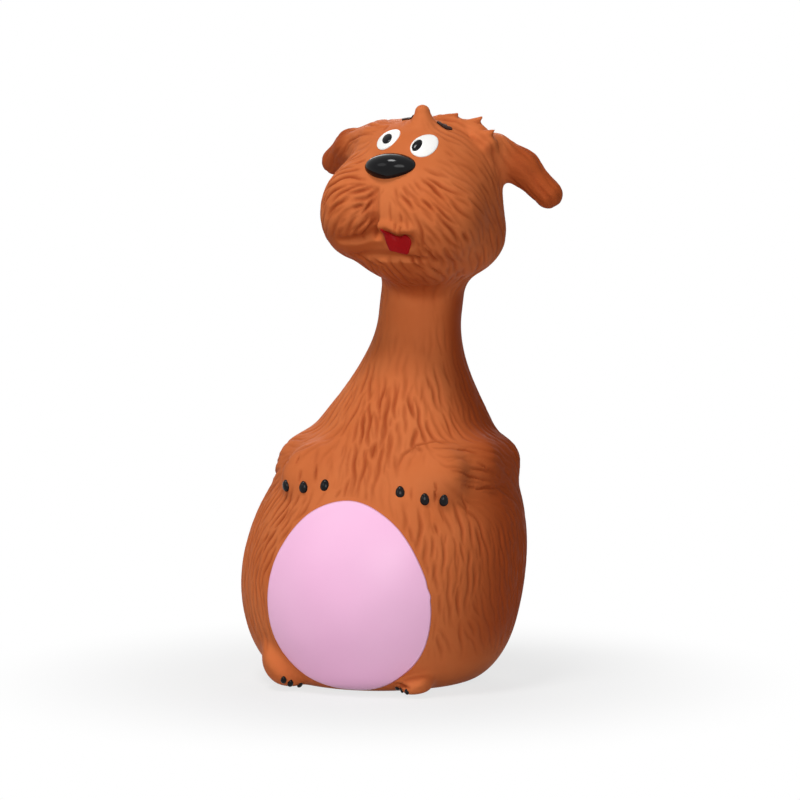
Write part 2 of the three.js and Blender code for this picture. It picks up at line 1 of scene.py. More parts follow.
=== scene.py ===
# Squeaky dog toy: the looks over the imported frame. Shapes are worked out in millimetres, Blender gets metres.
import bpy
import bmesh
import itertools
import json
import math
import random
import numpy as np
import openvdb
from mathutils import Matrix, Vector
from mathutils.bvhtree import BVHTree
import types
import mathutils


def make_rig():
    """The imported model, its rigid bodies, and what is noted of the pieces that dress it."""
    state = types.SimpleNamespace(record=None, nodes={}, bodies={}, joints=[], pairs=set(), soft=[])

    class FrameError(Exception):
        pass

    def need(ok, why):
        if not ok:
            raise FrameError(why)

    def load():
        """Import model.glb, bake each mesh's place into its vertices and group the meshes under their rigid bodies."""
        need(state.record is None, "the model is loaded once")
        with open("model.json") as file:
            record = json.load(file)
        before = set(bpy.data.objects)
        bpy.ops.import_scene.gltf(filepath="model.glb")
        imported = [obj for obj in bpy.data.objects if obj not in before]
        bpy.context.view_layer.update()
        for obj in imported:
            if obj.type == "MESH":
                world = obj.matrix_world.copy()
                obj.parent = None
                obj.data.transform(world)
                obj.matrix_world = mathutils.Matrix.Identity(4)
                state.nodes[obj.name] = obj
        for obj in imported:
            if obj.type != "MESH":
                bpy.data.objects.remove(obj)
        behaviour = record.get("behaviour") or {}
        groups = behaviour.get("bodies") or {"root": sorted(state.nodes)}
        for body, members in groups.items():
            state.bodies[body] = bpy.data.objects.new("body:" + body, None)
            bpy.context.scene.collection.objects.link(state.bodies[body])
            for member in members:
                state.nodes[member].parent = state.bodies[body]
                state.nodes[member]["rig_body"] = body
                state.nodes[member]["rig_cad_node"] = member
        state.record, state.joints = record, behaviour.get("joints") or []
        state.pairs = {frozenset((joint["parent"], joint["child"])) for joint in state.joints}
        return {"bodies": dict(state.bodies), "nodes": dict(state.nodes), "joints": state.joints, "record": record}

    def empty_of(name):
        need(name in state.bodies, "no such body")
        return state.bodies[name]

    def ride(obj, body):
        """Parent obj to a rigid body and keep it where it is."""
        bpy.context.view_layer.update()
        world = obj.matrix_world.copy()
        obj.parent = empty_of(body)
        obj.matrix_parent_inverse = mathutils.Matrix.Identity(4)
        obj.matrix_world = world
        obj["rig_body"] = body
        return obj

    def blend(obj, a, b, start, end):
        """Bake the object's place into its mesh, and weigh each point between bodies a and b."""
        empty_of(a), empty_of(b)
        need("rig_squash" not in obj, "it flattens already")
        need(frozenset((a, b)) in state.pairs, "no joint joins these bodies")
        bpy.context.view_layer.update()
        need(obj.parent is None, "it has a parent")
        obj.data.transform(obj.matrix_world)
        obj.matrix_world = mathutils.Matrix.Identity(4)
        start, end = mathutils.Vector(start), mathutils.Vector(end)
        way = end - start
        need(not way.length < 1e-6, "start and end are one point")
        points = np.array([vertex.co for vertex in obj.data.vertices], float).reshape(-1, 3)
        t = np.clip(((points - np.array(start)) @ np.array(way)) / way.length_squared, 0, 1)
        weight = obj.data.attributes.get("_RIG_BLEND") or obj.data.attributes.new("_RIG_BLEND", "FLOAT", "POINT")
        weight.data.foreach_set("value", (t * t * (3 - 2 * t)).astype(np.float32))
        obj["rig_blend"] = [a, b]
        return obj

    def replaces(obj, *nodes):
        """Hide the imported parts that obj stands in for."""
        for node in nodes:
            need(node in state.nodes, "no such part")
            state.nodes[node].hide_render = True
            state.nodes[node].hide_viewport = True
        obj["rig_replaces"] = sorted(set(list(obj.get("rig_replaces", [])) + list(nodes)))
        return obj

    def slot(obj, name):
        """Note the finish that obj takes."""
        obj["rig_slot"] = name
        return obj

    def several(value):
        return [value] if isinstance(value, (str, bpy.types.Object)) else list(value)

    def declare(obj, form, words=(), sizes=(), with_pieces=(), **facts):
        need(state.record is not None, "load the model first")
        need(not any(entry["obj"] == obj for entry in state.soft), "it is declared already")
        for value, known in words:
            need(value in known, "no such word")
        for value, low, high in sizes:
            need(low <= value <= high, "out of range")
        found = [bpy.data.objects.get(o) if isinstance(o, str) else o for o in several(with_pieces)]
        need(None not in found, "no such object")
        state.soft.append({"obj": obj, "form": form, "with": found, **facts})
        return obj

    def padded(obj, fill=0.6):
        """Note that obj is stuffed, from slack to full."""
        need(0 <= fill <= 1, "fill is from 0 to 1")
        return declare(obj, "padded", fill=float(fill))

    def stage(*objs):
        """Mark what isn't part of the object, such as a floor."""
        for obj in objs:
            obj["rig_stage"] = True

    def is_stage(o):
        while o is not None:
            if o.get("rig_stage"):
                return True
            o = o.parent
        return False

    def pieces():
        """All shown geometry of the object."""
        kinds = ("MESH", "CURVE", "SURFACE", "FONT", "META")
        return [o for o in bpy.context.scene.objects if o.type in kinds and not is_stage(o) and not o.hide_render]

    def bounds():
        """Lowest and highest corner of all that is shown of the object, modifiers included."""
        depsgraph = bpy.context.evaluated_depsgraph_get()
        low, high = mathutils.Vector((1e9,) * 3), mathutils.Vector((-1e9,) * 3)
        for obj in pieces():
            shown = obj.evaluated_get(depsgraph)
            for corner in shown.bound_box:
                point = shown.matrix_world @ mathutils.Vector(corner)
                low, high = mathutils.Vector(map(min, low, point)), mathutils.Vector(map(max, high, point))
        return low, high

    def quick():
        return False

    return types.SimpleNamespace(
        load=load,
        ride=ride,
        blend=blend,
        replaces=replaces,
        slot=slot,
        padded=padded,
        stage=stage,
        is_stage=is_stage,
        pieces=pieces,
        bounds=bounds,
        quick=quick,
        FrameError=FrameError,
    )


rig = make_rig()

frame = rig.load()
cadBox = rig.bounds()
scene = bpy.context.scene
scene.view_settings.view_transform = "Standard"
mm = 0.001
farOut = 60.0  # a start well outside the toy, for rays that come in to its surface
nothing = 50.0  # a field's value where no shape is near

# camera, at the photograph's angle
shot = {"lens": 150, "sensor": 36, "azimuth": 16.2, "elevation": 4.6, "distance": 751.4,
        "right": 4.02, "up": 62.48}


def makeCamera(s):
    a, e = math.radians(s["azimuth"]), math.radians(s["elevation"])
    right = Vector((math.cos(a), math.sin(a), 0))
    back = Vector((math.sin(a) * math.cos(e), -math.cos(a) * math.cos(e), math.sin(e)))
    up = back.cross(right)
    data = bpy.data.cameras.new("shotCamera")
    data.lens, data.sensor_width = s["lens"], s["sensor"]
    camera = bpy.data.objects.new("shotCamera", data)
    spot = (right * s["right"] + up * s["up"] + back * s["distance"]) * mm
    camera.matrix_world = Matrix.Translation(spot) @ Matrix((right, up, back)).transposed().to_4x4()
    scene.collection.objects.link(camera)
    scene.camera = camera


makeCamera(shot)
print("camera placed")


# shape helpers: a field is nearly the distance to a surface, negative inside

def ease(t):
    t = np.clip(t, 0, 1)
    return t * t * (3 - 2 * t)


def rise(value, start, over):
    return ease((value - start) / over)


def fall(value, end, over):
    return ease((end - value) / over)


def fuse(a, b, k):
    h = np.clip(0.5 + 0.5 * (b - a) / k, 0, 1)
    return b + (a - b) * h - k * h * (1 - h)


def dig(a, b, k):
    return -fuse(-a, b, k)


def lump(p, centre, radii):
    q = p - np.array(centre, float)
    r = np.array(radii, float)
    k0 = np.linalg.norm(q / r, axis=1)
    k1 = np.linalg.norm(q / r ** 2, axis=1) + 1e-9
    return k0 * (k0 - 1) / k1


def rod(p, a, b, ra, rb):
    a, b = np.array(a, float), np.array(b, float)
    d = b - a
    t = np.clip(((p - a) @ d) / (d @ d), 0, 1)
    return np.linalg.norm(p - (a + t[:, None] * d), axis=1) - (ra + (rb - ra) * t)


def march(field, start, way, steps=60, stride=0.75):
    far = np.zeros(len(start))
    for i in range(steps):
        far += field(start + way * far[:, None]) * stride
    return start + way * far[:, None]


def facing(field, p, eps=0.05):
    g = np.stack([field(p + eps * a) - field(p - eps * a) for a in np.eye(3)], 1)
    return g / np.linalg.norm(g, axis=1, keepdims=True)


# belly patch outline, seen from the front, with small nicks at one side
bellyForm = {"halfWidth": 18.6, "bottom": 0.6, "top": 42.8, "taper": 0.1, "frontOf": -5, "outside": 9.0,
             "lift": 0.16, "dome": 0.0, "sink": 0.5, "spokes": 300, "rings": 60,
             "nickAt": -0.1, "nickSpread": 0.22, "nickWaves": 33, "nickDepth": 0.014,
             "waver": 0.0025, "waverWaves": 9, "waverShift": 1}


def bellyEdge(angle):
    f = bellyForm
    half = (f["top"] - f["bottom"]) / 2
    nick = np.exp(-((angle - f["nickAt"]) / f["nickSpread"]) ** 2) * np.sin(angle * f["nickWaves"])
    grow = 1 + f["nickDepth"] * nick + f["waver"] * np.sin(angle * f["waverWaves"] + f["waverShift"])
    x = f["halfWidth"] * grow * np.cos(angle) * (1 - f["taper"] * np.sin(angle))
    return x, half * grow * np.sin(angle)


def bellyShare(p):
    f = bellyForm
    v = (p[:, 2] - (f["top"] + f["bottom"]) / 2) / ((f["top"] - f["bottom"]) / 2)
    u = p[:, 0] / (f["halfWidth"] * (1 - f["taper"] * np.clip(v, -1, 1)))
    return np.where(p[:, 1] < f["frontOf"], np.hypot(u, v), f["outside"])


# body: a pear on a leaning spine, with arms folded over the chest and two feet
spineForm = {"slope": 0.121, "start": 20.6, "blend": 10.3, "forward": 1.0, "setback": 5.2, "top": 82.4}
pearForm = {"base": 17.8, "belly": 23.7, "width": 31.9, "front": 30.7, "back": 29.9, "neck": 9.3,
            "throat": 82.0, "fullness": 1.2, "edge": 1.4, "top": 100.0, "crown": 9.0, "slack": 0.9}
armForm = {"elbow": (21.8, 2.0, 49.0), "forearm": (19.6, -9.2, 49.6), "wrist": (14.4, -16.6, 49.4),
           "radii": (5.0, 5.2, 4.7), "bend": 1.5, "melt": 4.5,
           "paw": (13.6, -19.6, 47.6), "pawRadii": (7.0, 4.6, 5.8), "pawMelt": 3.0}
footForm = {"left": ((12.6, -19.6, 3.0), (5.0, 5.8, 3.3)), "right": ((15.2, -18.2, 6.6), (6.5, 6.4, 6.4)),
            "melt": 2.2, "flatten": 4, "flatTo": (0.92, 0.3)}
baseHole = {"radius": 9.3, "wall": 2.0, "overcut": 0.5, "room": 11.6, "top": 17.0}


def spine(z):
    s = spineForm
    run = np.maximum(z - s["start"] + s["blend"], 0)
    bent = np.where(run < 2 * s["blend"], run * run / (4 * s["blend"]), run - s["blend"])
    up = rise(z, s["start"], s["top"] - s["start"])
    return s["slope"] * bent, (s["forward"] + s["setback"]) * up - s["forward"]


def pearRadius(z, full):
    f = pearForm
    down = np.clip(1 - z / f["belly"], 0, 1)
    low = f["base"] + (full - f["base"]) * np.sqrt(1 - down * down)
    up = np.clip((z - f["belly"]) / (f["throat"] - f["belly"]), 0, 1) ** f["fullness"]
    high = f["neck"] + (full - f["neck"]) * (0.5 + 0.5 * np.cos(np.pi * up))
    return np.where(z < f["belly"], low, high)


def pearField(p):
    x0, y0 = spine(p[:, 2])
    dx, dy = p[:, 0] - x0, p[:, 1] - y0
    a = pearRadius(p[:, 2], pearForm["width"])
    b = pearRadius(p[:, 2], np.where(dy < 0, pearForm["front"], pearForm["back"]))
    side = (np.sqrt((dx / a) ** 2 + (dy / b) ** 2) - 1) * np.minimum(a, b) * pearForm["slack"]
    return dig(side, pearForm["top"] - p[:, 2], pearForm["crown"])


def limbFrame(p):
    x0, y0 = spine(p[:, 2])
    return np.stack([np.abs(p[:, 0] - x0), p[:, 1] - y0, p[:, 2]], 1)


def armField(q):
    f = armForm
    r = f["radii"]
    upper = rod(q, f["elbow"], f["forearm"], r[0], r[1])
    return fuse(upper, rod(q, f["forearm"], f["wrist"], r[1], r[2]), f["bend"])


def footField(p, q):
    left = p[:, 0] > spine(p[:, 2])[0]
    d = np.where(left, lump(q, *footForm["left"]), lump(q, *footForm["right"]))
    # flat where the belly is painted
    return d + footForm["flatten"] * (1 - rise(bellyShare(p), *footForm["flatTo"]))


def bodyField(p):
    q = limbFrame(p)
    d = fuse(pearField(p), armField(q), armForm["melt"])
    d = fuse(d, lump(q, armForm["paw"], armForm["pawRadii"]), armForm["pawMelt"])
    d = fuse(d, footField(p, q), footForm["melt"])
    d = dig(d, p[:, 2], pearForm["edge"])
    out = np.hypot(p[:, 0], p[:, 1])
    h = baseHole
    d = np.maximum(d, -np.maximum(out - h["radius"], p[:, 2] - h["wall"] - h["overcut"]))
    return np.maximum(d, -np.maximum(out - h["room"], np.maximum(h["wall"] - p[:, 2], p[:, 2] - h["top"])))


# head: skull, jaw, two muzzle lobes and a chin, in its own frame on top of the neck
headForm = {"height": 86.5, "roll": 5.5, "yaw": -6.0, "melt": 4.5,
            "skull": ((0.4, -6.7, 24.5), (17.4, 17.5, 15.0)),
            "jaw": ((2.2, -5.2, 14.6), (17.2, 16.0, 11.8)), "jawMelt": 5.2,
            "lobes": (((-9.2, -16.5, 18.0), (9.3, 11.3, 11.2)), ((5.7, -16.5, 18.0), (12.8, 11.3, 11.2))),
            "lobeMelt": 3.4, "chin": ((1.0, -12.9, 8.3), (10.3, 9.3, 5.6)), "chinMelt": 3.6}
# lines on the face, by x and z: three are cut in, and the lip is raised
muzzleForm = {"crease": ((-3.3, 22.8), (-2.9, 18.4), (-2.4, 13.7)),
              "fold": ((-10.6, 11.1), (-8.0, 11.4), (-5.4, 12.1), (-2.6, 13.6)),
              "chinFold": ((-6.2, 8.2), (-2.0, 8.7), (3.2, 9.0), (8.6, 8.8)),
              "lip": ((-0.6, 15.4), (0.9, 15.7), (3.4, 14.9), (6.2, 15.4)),
              "proud": {"crease": 0.25, "fold": 0.2, "chinFold": 0.3, "lip": -0.1},
              "radii": {"crease": (0.75, 1.45), "fold": (0.75, 1.35),
                        "chinFold": (0.75, 0.75), "lip": (0.95, 0.95)}, "lipMelt": 1.2, "cutMelt": 0.9,
              "mouth": ((2.8, -27.6, 11.8), (5.0, 3.6, 3.7)), "mouthMelt": 1.2}
earForm = {"left": ((14.6, -2.0, 32.9), (20.6, 0.4, 30.2), (26.9, 1.5, 25.0)), "leftRadii": (4.5, 3.7, 3.2),
           "right": ((-9.5, -10.0, 32.8), (-18.4, -4.3, 31.1), (-24.1, 0.0, 27.3)),
           "rightRadii": (4.8, 3.6, 3.1), "bend": 2.0, "melt": 2.8}
tuftForm = {"foot": (1.4, -12.8), "sink": 0.8, "lean": (-0.3, -0.2), "rise": 1.9,
            "radii": (3.0, 1.7), "melt": 1.6}
crestForm = {"ridge": ((2.6, -7.0, 38.0), (7.2, -6.6, 38.0), (11.6, -5.8, 37.2), (15.0, -7.4, 34.8)),
             "ridgeRadii": (1.7, 1.7), "ridgeMelt": 1.6,
             "locks": (((3.4, -7.0, 38.6), (7.0, -7.0, 40.8)), ((8.4, -5.7, 37.8), (12.2, -5.5, 40.5)),
                       ((12.8, -7.5, 35.6), (16.3, -7.5, 38.1))), "radii": (1.7, 0.3), "melt": 0.9}

roll, yaw = math.radians(headForm["roll"]), math.radians(headForm["yaw"])
headTurn = np.array(Matrix.Rotation(roll, 3, "Y") @ Matrix.Rotation(yaw, 3, "Z"))
headPlace = np.array([*map(float, spine(np.array(headForm["height"]))), headForm["height"]])


def toHead(p):
    return (p - headPlace) @ headTurn


def fromHead(h):
    return headPlace + np.asarray(h, float) @ headTurn.T


def skullField(h):
    f = headForm
    d = fuse(lump(h, *f["skull"]), lump(h, *f["jaw"]), f["jawMelt"])
    for centre, radii in f["lobes"]:
        d = fuse(d, lump(h, centre, radii), f["lobeMelt"])
    return fuse(d, lump(h, *f["chin"]), f["chinMelt"])


def crownHeight(x, y):
    top = march(skullField, np.array([[x, y, farOut]]), np.array([0, 0, -1.0]))
    return float(top[0, 2])


def standOn(foot, sink):
    return (foot[0], foot[1], crownHeight(*foot) - sink)


def onFace(spots, proud):
    start = np.array([(x, -farOut, z) for x, z in spots])
    return march(skullField, start, np.array([0, 1.0, 0])) - (0, proud, 0)


faceLines = {name: onFace(muzzleForm[name], proud) for name, proud in muzzleForm["proud"].items()}
tuftFoot = standOn(tuftForm["foot"], tuftForm["sink"])
tuftTip = np.add(standOn(tuftForm["foot"], -tuftForm["rise"]), (*tuftForm["lean"], 0))


def earField(h):
    d = np.full(len(h), nothing)
    for side in ("left", "right"):
        root, middle, tip = earForm[side]
        r = earForm[side + "Radii"]
        ear = fuse(rod(h, root, middle, r[0], r[1]), rod(h, middle, tip, r[1], r[2]), earForm["bend"])
        d = np.minimum(d, ear)
    return d


def lineField(h, line, radii):
    thick = np.linspace(*radii, len(line))
    bars = [rod(h, line[i], line[i + 1], thick[i], thick[i + 1]) for i in range(len(line) - 1)]
    return np.min(bars, axis=0)


def headField(h):
    m, c = muzzleForm, crestForm
    d = dig(skullField(h), lump(h, *m["mouth"]), m["mouthMelt"])
    for name, line in faceLines.items():
        bar = lineField(h, line, m["radii"][name])
        d = fuse(d, bar, m["lipMelt"]) if name == "lip" else dig(d, bar, m["cutMelt"])
    d = fuse(d, rod(h, tuftFoot, tuftTip, *tuftForm["radii"]), tuftForm["melt"])
    for a, b in zip(c["ridge"], c["ridge"][1:]):
        d = fuse(d, rod(h, a, b, *c["ridgeRadii"]), c["ridgeMelt"])
    for a, b in c["locks"]:
        d = fuse(d, rod(h, a, b, *c["radii"]), c["melt"])
    return d


def swell(p, form):
    x, y, z = (np.sin(p[:, i] / form["waves"][i] + form["shifts"][i]) for i in range(3))
    return x * y * z


# the whole toy, a little uneven as hand-filled latex is; body and head overlap along the neck
toyForm = {"headFrom": 74, "bodyTo": 106, "uneven": 0.1, "waves": (3.3, 2.9, 3.7), "shifts": (1.1, 0.0, 0.4),
           "evenTo": (4, 8)}


def toyField(p):
    f = toyForm
    d = np.full(len(p), nothing)
    low, high = p[:, 2] < f["bodyTo"], p[:, 2] > f["headFrom"]
    d[low] = bodyField(p[low])
    h = toHead(p[high])
    d[high] = fuse(d[high], fuse(headField(h), earField(h), earForm["melt"]), headForm["melt"])
    return d + f["uneven"] * swell(p, f) * rise(p[:, 2], *f["evenTo"])


# a mesh of the zero surface, worked out only near it
halfDiagonal = 0.87  # of a cube with sides of 1, rounded up


def surfaceMesh(field, low, high, voxel, block=4, margin=0.9, band=3.0, batch=300000):
    low = np.array(low, float)
    count = np.ceil((np.array(high, float) - low) / (voxel * block)).astype(int)
    middle = [low[i] + voxel * (block * np.arange(count[i]) + (block - 1) / 2) for i in range(3)]
    rough = field(np.stack(np.meshgrid(*middle, indexing="ij"), -1).reshape(-1, 3)).reshape(count)
    near = np.abs(rough) < halfDiagonal * voxel * block + margin
    grid = np.where(rough > 0, band, -band).astype(np.float32)
    for axis in range(3):
        grid, near = grid.repeat(block, axis), near.repeat(block, axis)
    cells = np.argwhere(near)
    for part in np.array_split(cells, len(cells) // batch + 1):
        grid[tuple(part.T)] = np.clip(field(low + voxel * part), -band, band)
    volume = openvdb.FloatGrid(background=band)
    volume.copyFromArray(grid)
    points, quads = volume.convertToQuads(isovalue=0.0)
    return points.astype(float) * voxel + low, quads.astype(np.int32)


def meshFrom(name, points, quads):
    mesh = bpy.data.meshes.new(name)
    mesh.vertices.add(len(points))
    mesh.vertices.foreach_set("co", (np.asarray(points) * mm).astype(np.float32).ravel())
    mesh.loops.add(4 * len(quads))
    mesh.loops.foreach_set("vertex_index", np.asarray(quads, np.int32).ravel())
    mesh.polygons.add(len(quads))
    mesh.polygons.foreach_set("loop_start", np.arange(0, 4 * len(quads), 4, dtype=np.int32))
    mesh.update(calc_edges=True)
    mesh.shade_smooth()
    return mesh


def readLayer(layer, key, width=3):
    values = np.empty(width * len(layer), np.float32)
    layer.foreach_get(key, values)
    return values.reshape(-1, width)


def addObject(name, mesh):
    piece = bpy.data.objects.new(name, mesh)
    scene.collection.objects.link(piece)
    return piece


# node helpers

def addNode(tree, kind, **settings):
    made = tree.nodes.new(kind)
    for key, value in settings.items():
        setattr(made, key, value)
    return made


def mathNode(tree, operation, first, second):
    made = addNode(tree, "ShaderNodeMath", operation=operation)
    for socket, value in ((made.inputs[0], first), (made.inputs[1], second)):
        if isinstance(value, (int, float)):
            socket.default_value = value
        else:
            tree.links.new(value, socket)
    return made.outputs[0]


def seenRays(tree):
    # 1 for what the camera, a reflection or clear glass shows, 0 for light that falls on the toy
    path = addNode(tree, "ShaderNodeLightPath")
    seen = mathNode(tree, "MAXIMUM", path.outputs["Is Camera Ray"], path.outputs["Is Glossy Ray"])
    return mathNode(tree, "MAXIMUM", seen, path.outputs["Is Transmission Ray"])


def geometryGroup(name, **inputs):
    tree = bpy.data.node_groups.new(name, "GeometryNodeTree")
    tree.interface.new_socket("Geometry", in_out="INPUT", socket_type="NodeSocketGeometry")
    sockets = {key: tree.interface.new_socket(key, in_out="INPUT", socket_type="NodeSocket" + kind).identifier
               for key, kind in inputs.items()}
    tree.interface.new_socket("Geometry", in_out="OUTPUT", socket_type="NodeSocketGeometry")
    return tree, addNode(tree, "NodeGroupInput"), sockets


def namedValue(tree, name, kind="FLOAT"):
    value = addNode(tree, "GeometryNodeInputNamedAttribute", data_type=kind)
    value.inputs["Name"].default_value = name
    return value.outputs["Attribute"]


def endGroup(tree, geometry, finish):
    real = addNode(tree, "GeometryNodeRealizeInstances")
    tree.links.new(geometry, real.inputs["Geometry"])
    paint = addNode(tree, "GeometryNodeSetMaterial")
    paint.inputs["Material"].default_value = finish
    tree.links.new(real.outputs["Geometry"], paint.inputs["Geometry"])
    tree.links.new(paint.outputs["Geometry"], addNode(tree, "NodeGroupOutput").inputs[0])


def newFinish(name):
    finish = bpy.data.materials.new(name)
    finish.use_nodes = True
    return finish, finish.node_tree, finish.node_tree.nodes["Principled BSDF"]


def colourSteps(tree, steps):
    ramp = addNode(tree, "ShaderNodeValToRGB")  # has two steps to begin with
    for element, (spot, colour) in zip(ramp.color_ramp.elements, steps):
        element.position, element.color = spot, (*colour, 1)
    return ramp


def objectNoise(tree, scale, detail):
    where = addNode(tree, "ShaderNodeTexCoord")
    noise = addNode(tree, "ShaderNodeTexNoise")
    noise.inputs["Scale"].default_value = scale
    noise.inputs["Detail"].default_value = detail
    tree.links.new(where.outputs["Object"], noise.inputs["Vector"])
    return noise


def mixColour(tree, first, second, share):
    mix = addNode(tree, "ShaderNodeMix", data_type="RGBA")
    for socket, value in ((mix.inputs[0], share), (mix.inputs[6], first), (mix.inputs[7], second)):
        if isinstance(value, tuple):
            socket.default_value = value
        else:
            tree.links.new(value, socket)
    return mix.outputs[2]


def addBump(tree, shader, height, strength, distance):
    bump = addNode(tree, "ShaderNodeBump")
    bump.inputs["Strength"].default_value = strength
    bump.inputs["Distance"].default_value = distance
    tree.links.new(height, bump.inputs["Height"])
    tree.links.new(bump.outputs["Normal"], shader.inputs["Normal"])


def spreadRoughness(tree, shader, noise, low, high):
    spread = addNode(tree, "ShaderNodeMapRange")
    spread.inputs["To Min"].default_value, spread.inputs["To Max"].default_value = low, high
    tree.links.new(noise.outputs["Fac"], spread.inputs["Value"])
    tree.links.new(spread.outputs["Result"], shader.inputs["Roughness"])


# finishes: noise scales are per metre
# the groove colour is painted shade, laid into the fur grooves and the folds of the face
latexLook = {"ridge": (0.58, 0.145, 0.042), "worn": (0.63, 0.175, 0.056), "grooveShade": (0.33, 0.06, 0.015),
             # deep is the colour of the painted shade down the dog's left side, under the chin and on the ears
             "deep": (0.34, 0.059, 0.013), "patches": 90, "spread": (0.35, 0.72), "grain": 2600, "bump": 0.12,
             "roughness": (0.5, 0.62), "specular": 0.03}
paintLook = {"spread": (0.35, 0.7), "grain": 1800, "roughness": (0.85, 1.15)}
grainHeight = 0.0002


def latexFinish(look):
    finish, tree, shader = newFinish("orangeLatex")
    patches = objectNoise(tree, look["patches"], detail=3)
    body = colourSteps(tree, zip(look["spread"], (look["ridge"], look["worn"])))
    tree.links.new(patches.outputs["Fac"], body.inputs["Fac"])
    # painted shade: the latex goes darker where the strokes are cut deep and in the folds of the face
    grooveShade = addNode(tree, "ShaderNodeAttribute", attribute_name="grooveShade")
    # painted shade: darker latex down the dog's left side, under the chin and on the ears
    paintedShade = addNode(tree, "ShaderNodeAttribute", attribute_name="paintedShade")
    withPaintedShade = mixColour(tree, body.outputs["Color"], (*look["deep"], 1), paintedShade.outputs["Fac"])
    shade = mixColour(tree, withPaintedShade, (*look["grooveShade"], 1), grooveShade.outputs["Fac"])
    tree.links.new(shade, shader.inputs["Base Color"])
    grain = objectNoise(tree, look["grain"], detail=2)
    addBump(tree, shader, grain.outputs["Fac"], look["bump"], grainHeight)
    spreadRoughness(tree, shader, patches, *look["roughness"])
    shader.inputs["Specular IOR Level"].default_value = look["specular"]
    return finish


def paintFinish(name, colours, roughness, specular, scale=160, grain=0.04, metallic=0.0):
    finish, tree, shader = newFinish(name)
    patches = objectNoise(tree, scale, detail=2)
    tint = colourSteps(tree, zip(paintLook["spread"], colours))
    tree.links.new(patches.outputs["Fac"], tint.inputs["Fac"])
    tree.links.new(tint.outputs["Color"], shader.inputs["Base Color"])
    speck = objectNoise(tree, paintLook["grain"], detail=2)
    addBump(tree, shader, speck.outputs["Fac"], grain, grainHeight)
    spreadRoughness(tree, shader, patches, *(roughness * share for share in paintLook["roughness"]))
    shader.inputs["Specular IOR Level"].default_value = specular
    shader.inputs["Metallic"].default_value = metallic
    return finish


orangeLatex = latexFinish(latexLook)
# each paint: two colours, how rough it is and how much it shines
pinkPaint = paintFinish("pinkPaint", ((0.95, 0.52, 0.77), (0.96, 0.55, 0.79)), 0.34, 0.25, scale=45)
blackGloss = paintFinish("blackGloss", ((0.004, 0.004, 0.005), (0.008, 0.007, 0.008)), 0.11, 0.14, grain=0.01)
eyeWhite = paintFinish("eyeWhite", ((0.90, 0.89, 0.86), (0.93, 0.92, 0.90)), 0.3, 0.4)
browPaint = paintFinish("browPaint", ((0.028, 0.010, 0.006), (0.05, 0.017, 0.009)), 0.6, 0.08)
tongueRed = paintFinish("tongueRed", ((0.32, 0.004, 0.006), (0.37, 0.007, 0.009)), 0.4, 0.06)
waddingWhite = paintFinish("waddingWhite", ((0.72, 0.70, 0.64), (0.86, 0.84, 0.79)), 0.95, 0.1,
                           scale=420, grain=0.5)
plugPlastic = paintFinish("plugPlastic", ((0.74, 0.73, 0.69), (0.80, 0.79, 0.76)), 0.42, 0.4, scale=260)
reedBrass = paintFinish("reedBrass", ((0.50, 0.34, 0.12), (0.62, 0.44, 0.17)), 0.3, 0.5,
                        scale=500, metallic=1.0)
print("finishes ready")

# the latex figure as one surface
skinForm = {"low": (-36, -37, -1.5), "high": (46, 35, 132), "voxel": 0.72 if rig.quick() else 0.33}
skinPoints, skinQuads = surfaceMesh(toyField, skinForm["low"], skinForm["high"], skinForm["voxel"])
figure = addObject("latexFigure", meshFrom("latexFigure", skinPoints, skinQuads))
skinNormals = readLayer(figure.data.vertex_normals, "vector").astype(float)
print("latex surface:", len(skinQuads), "faces")

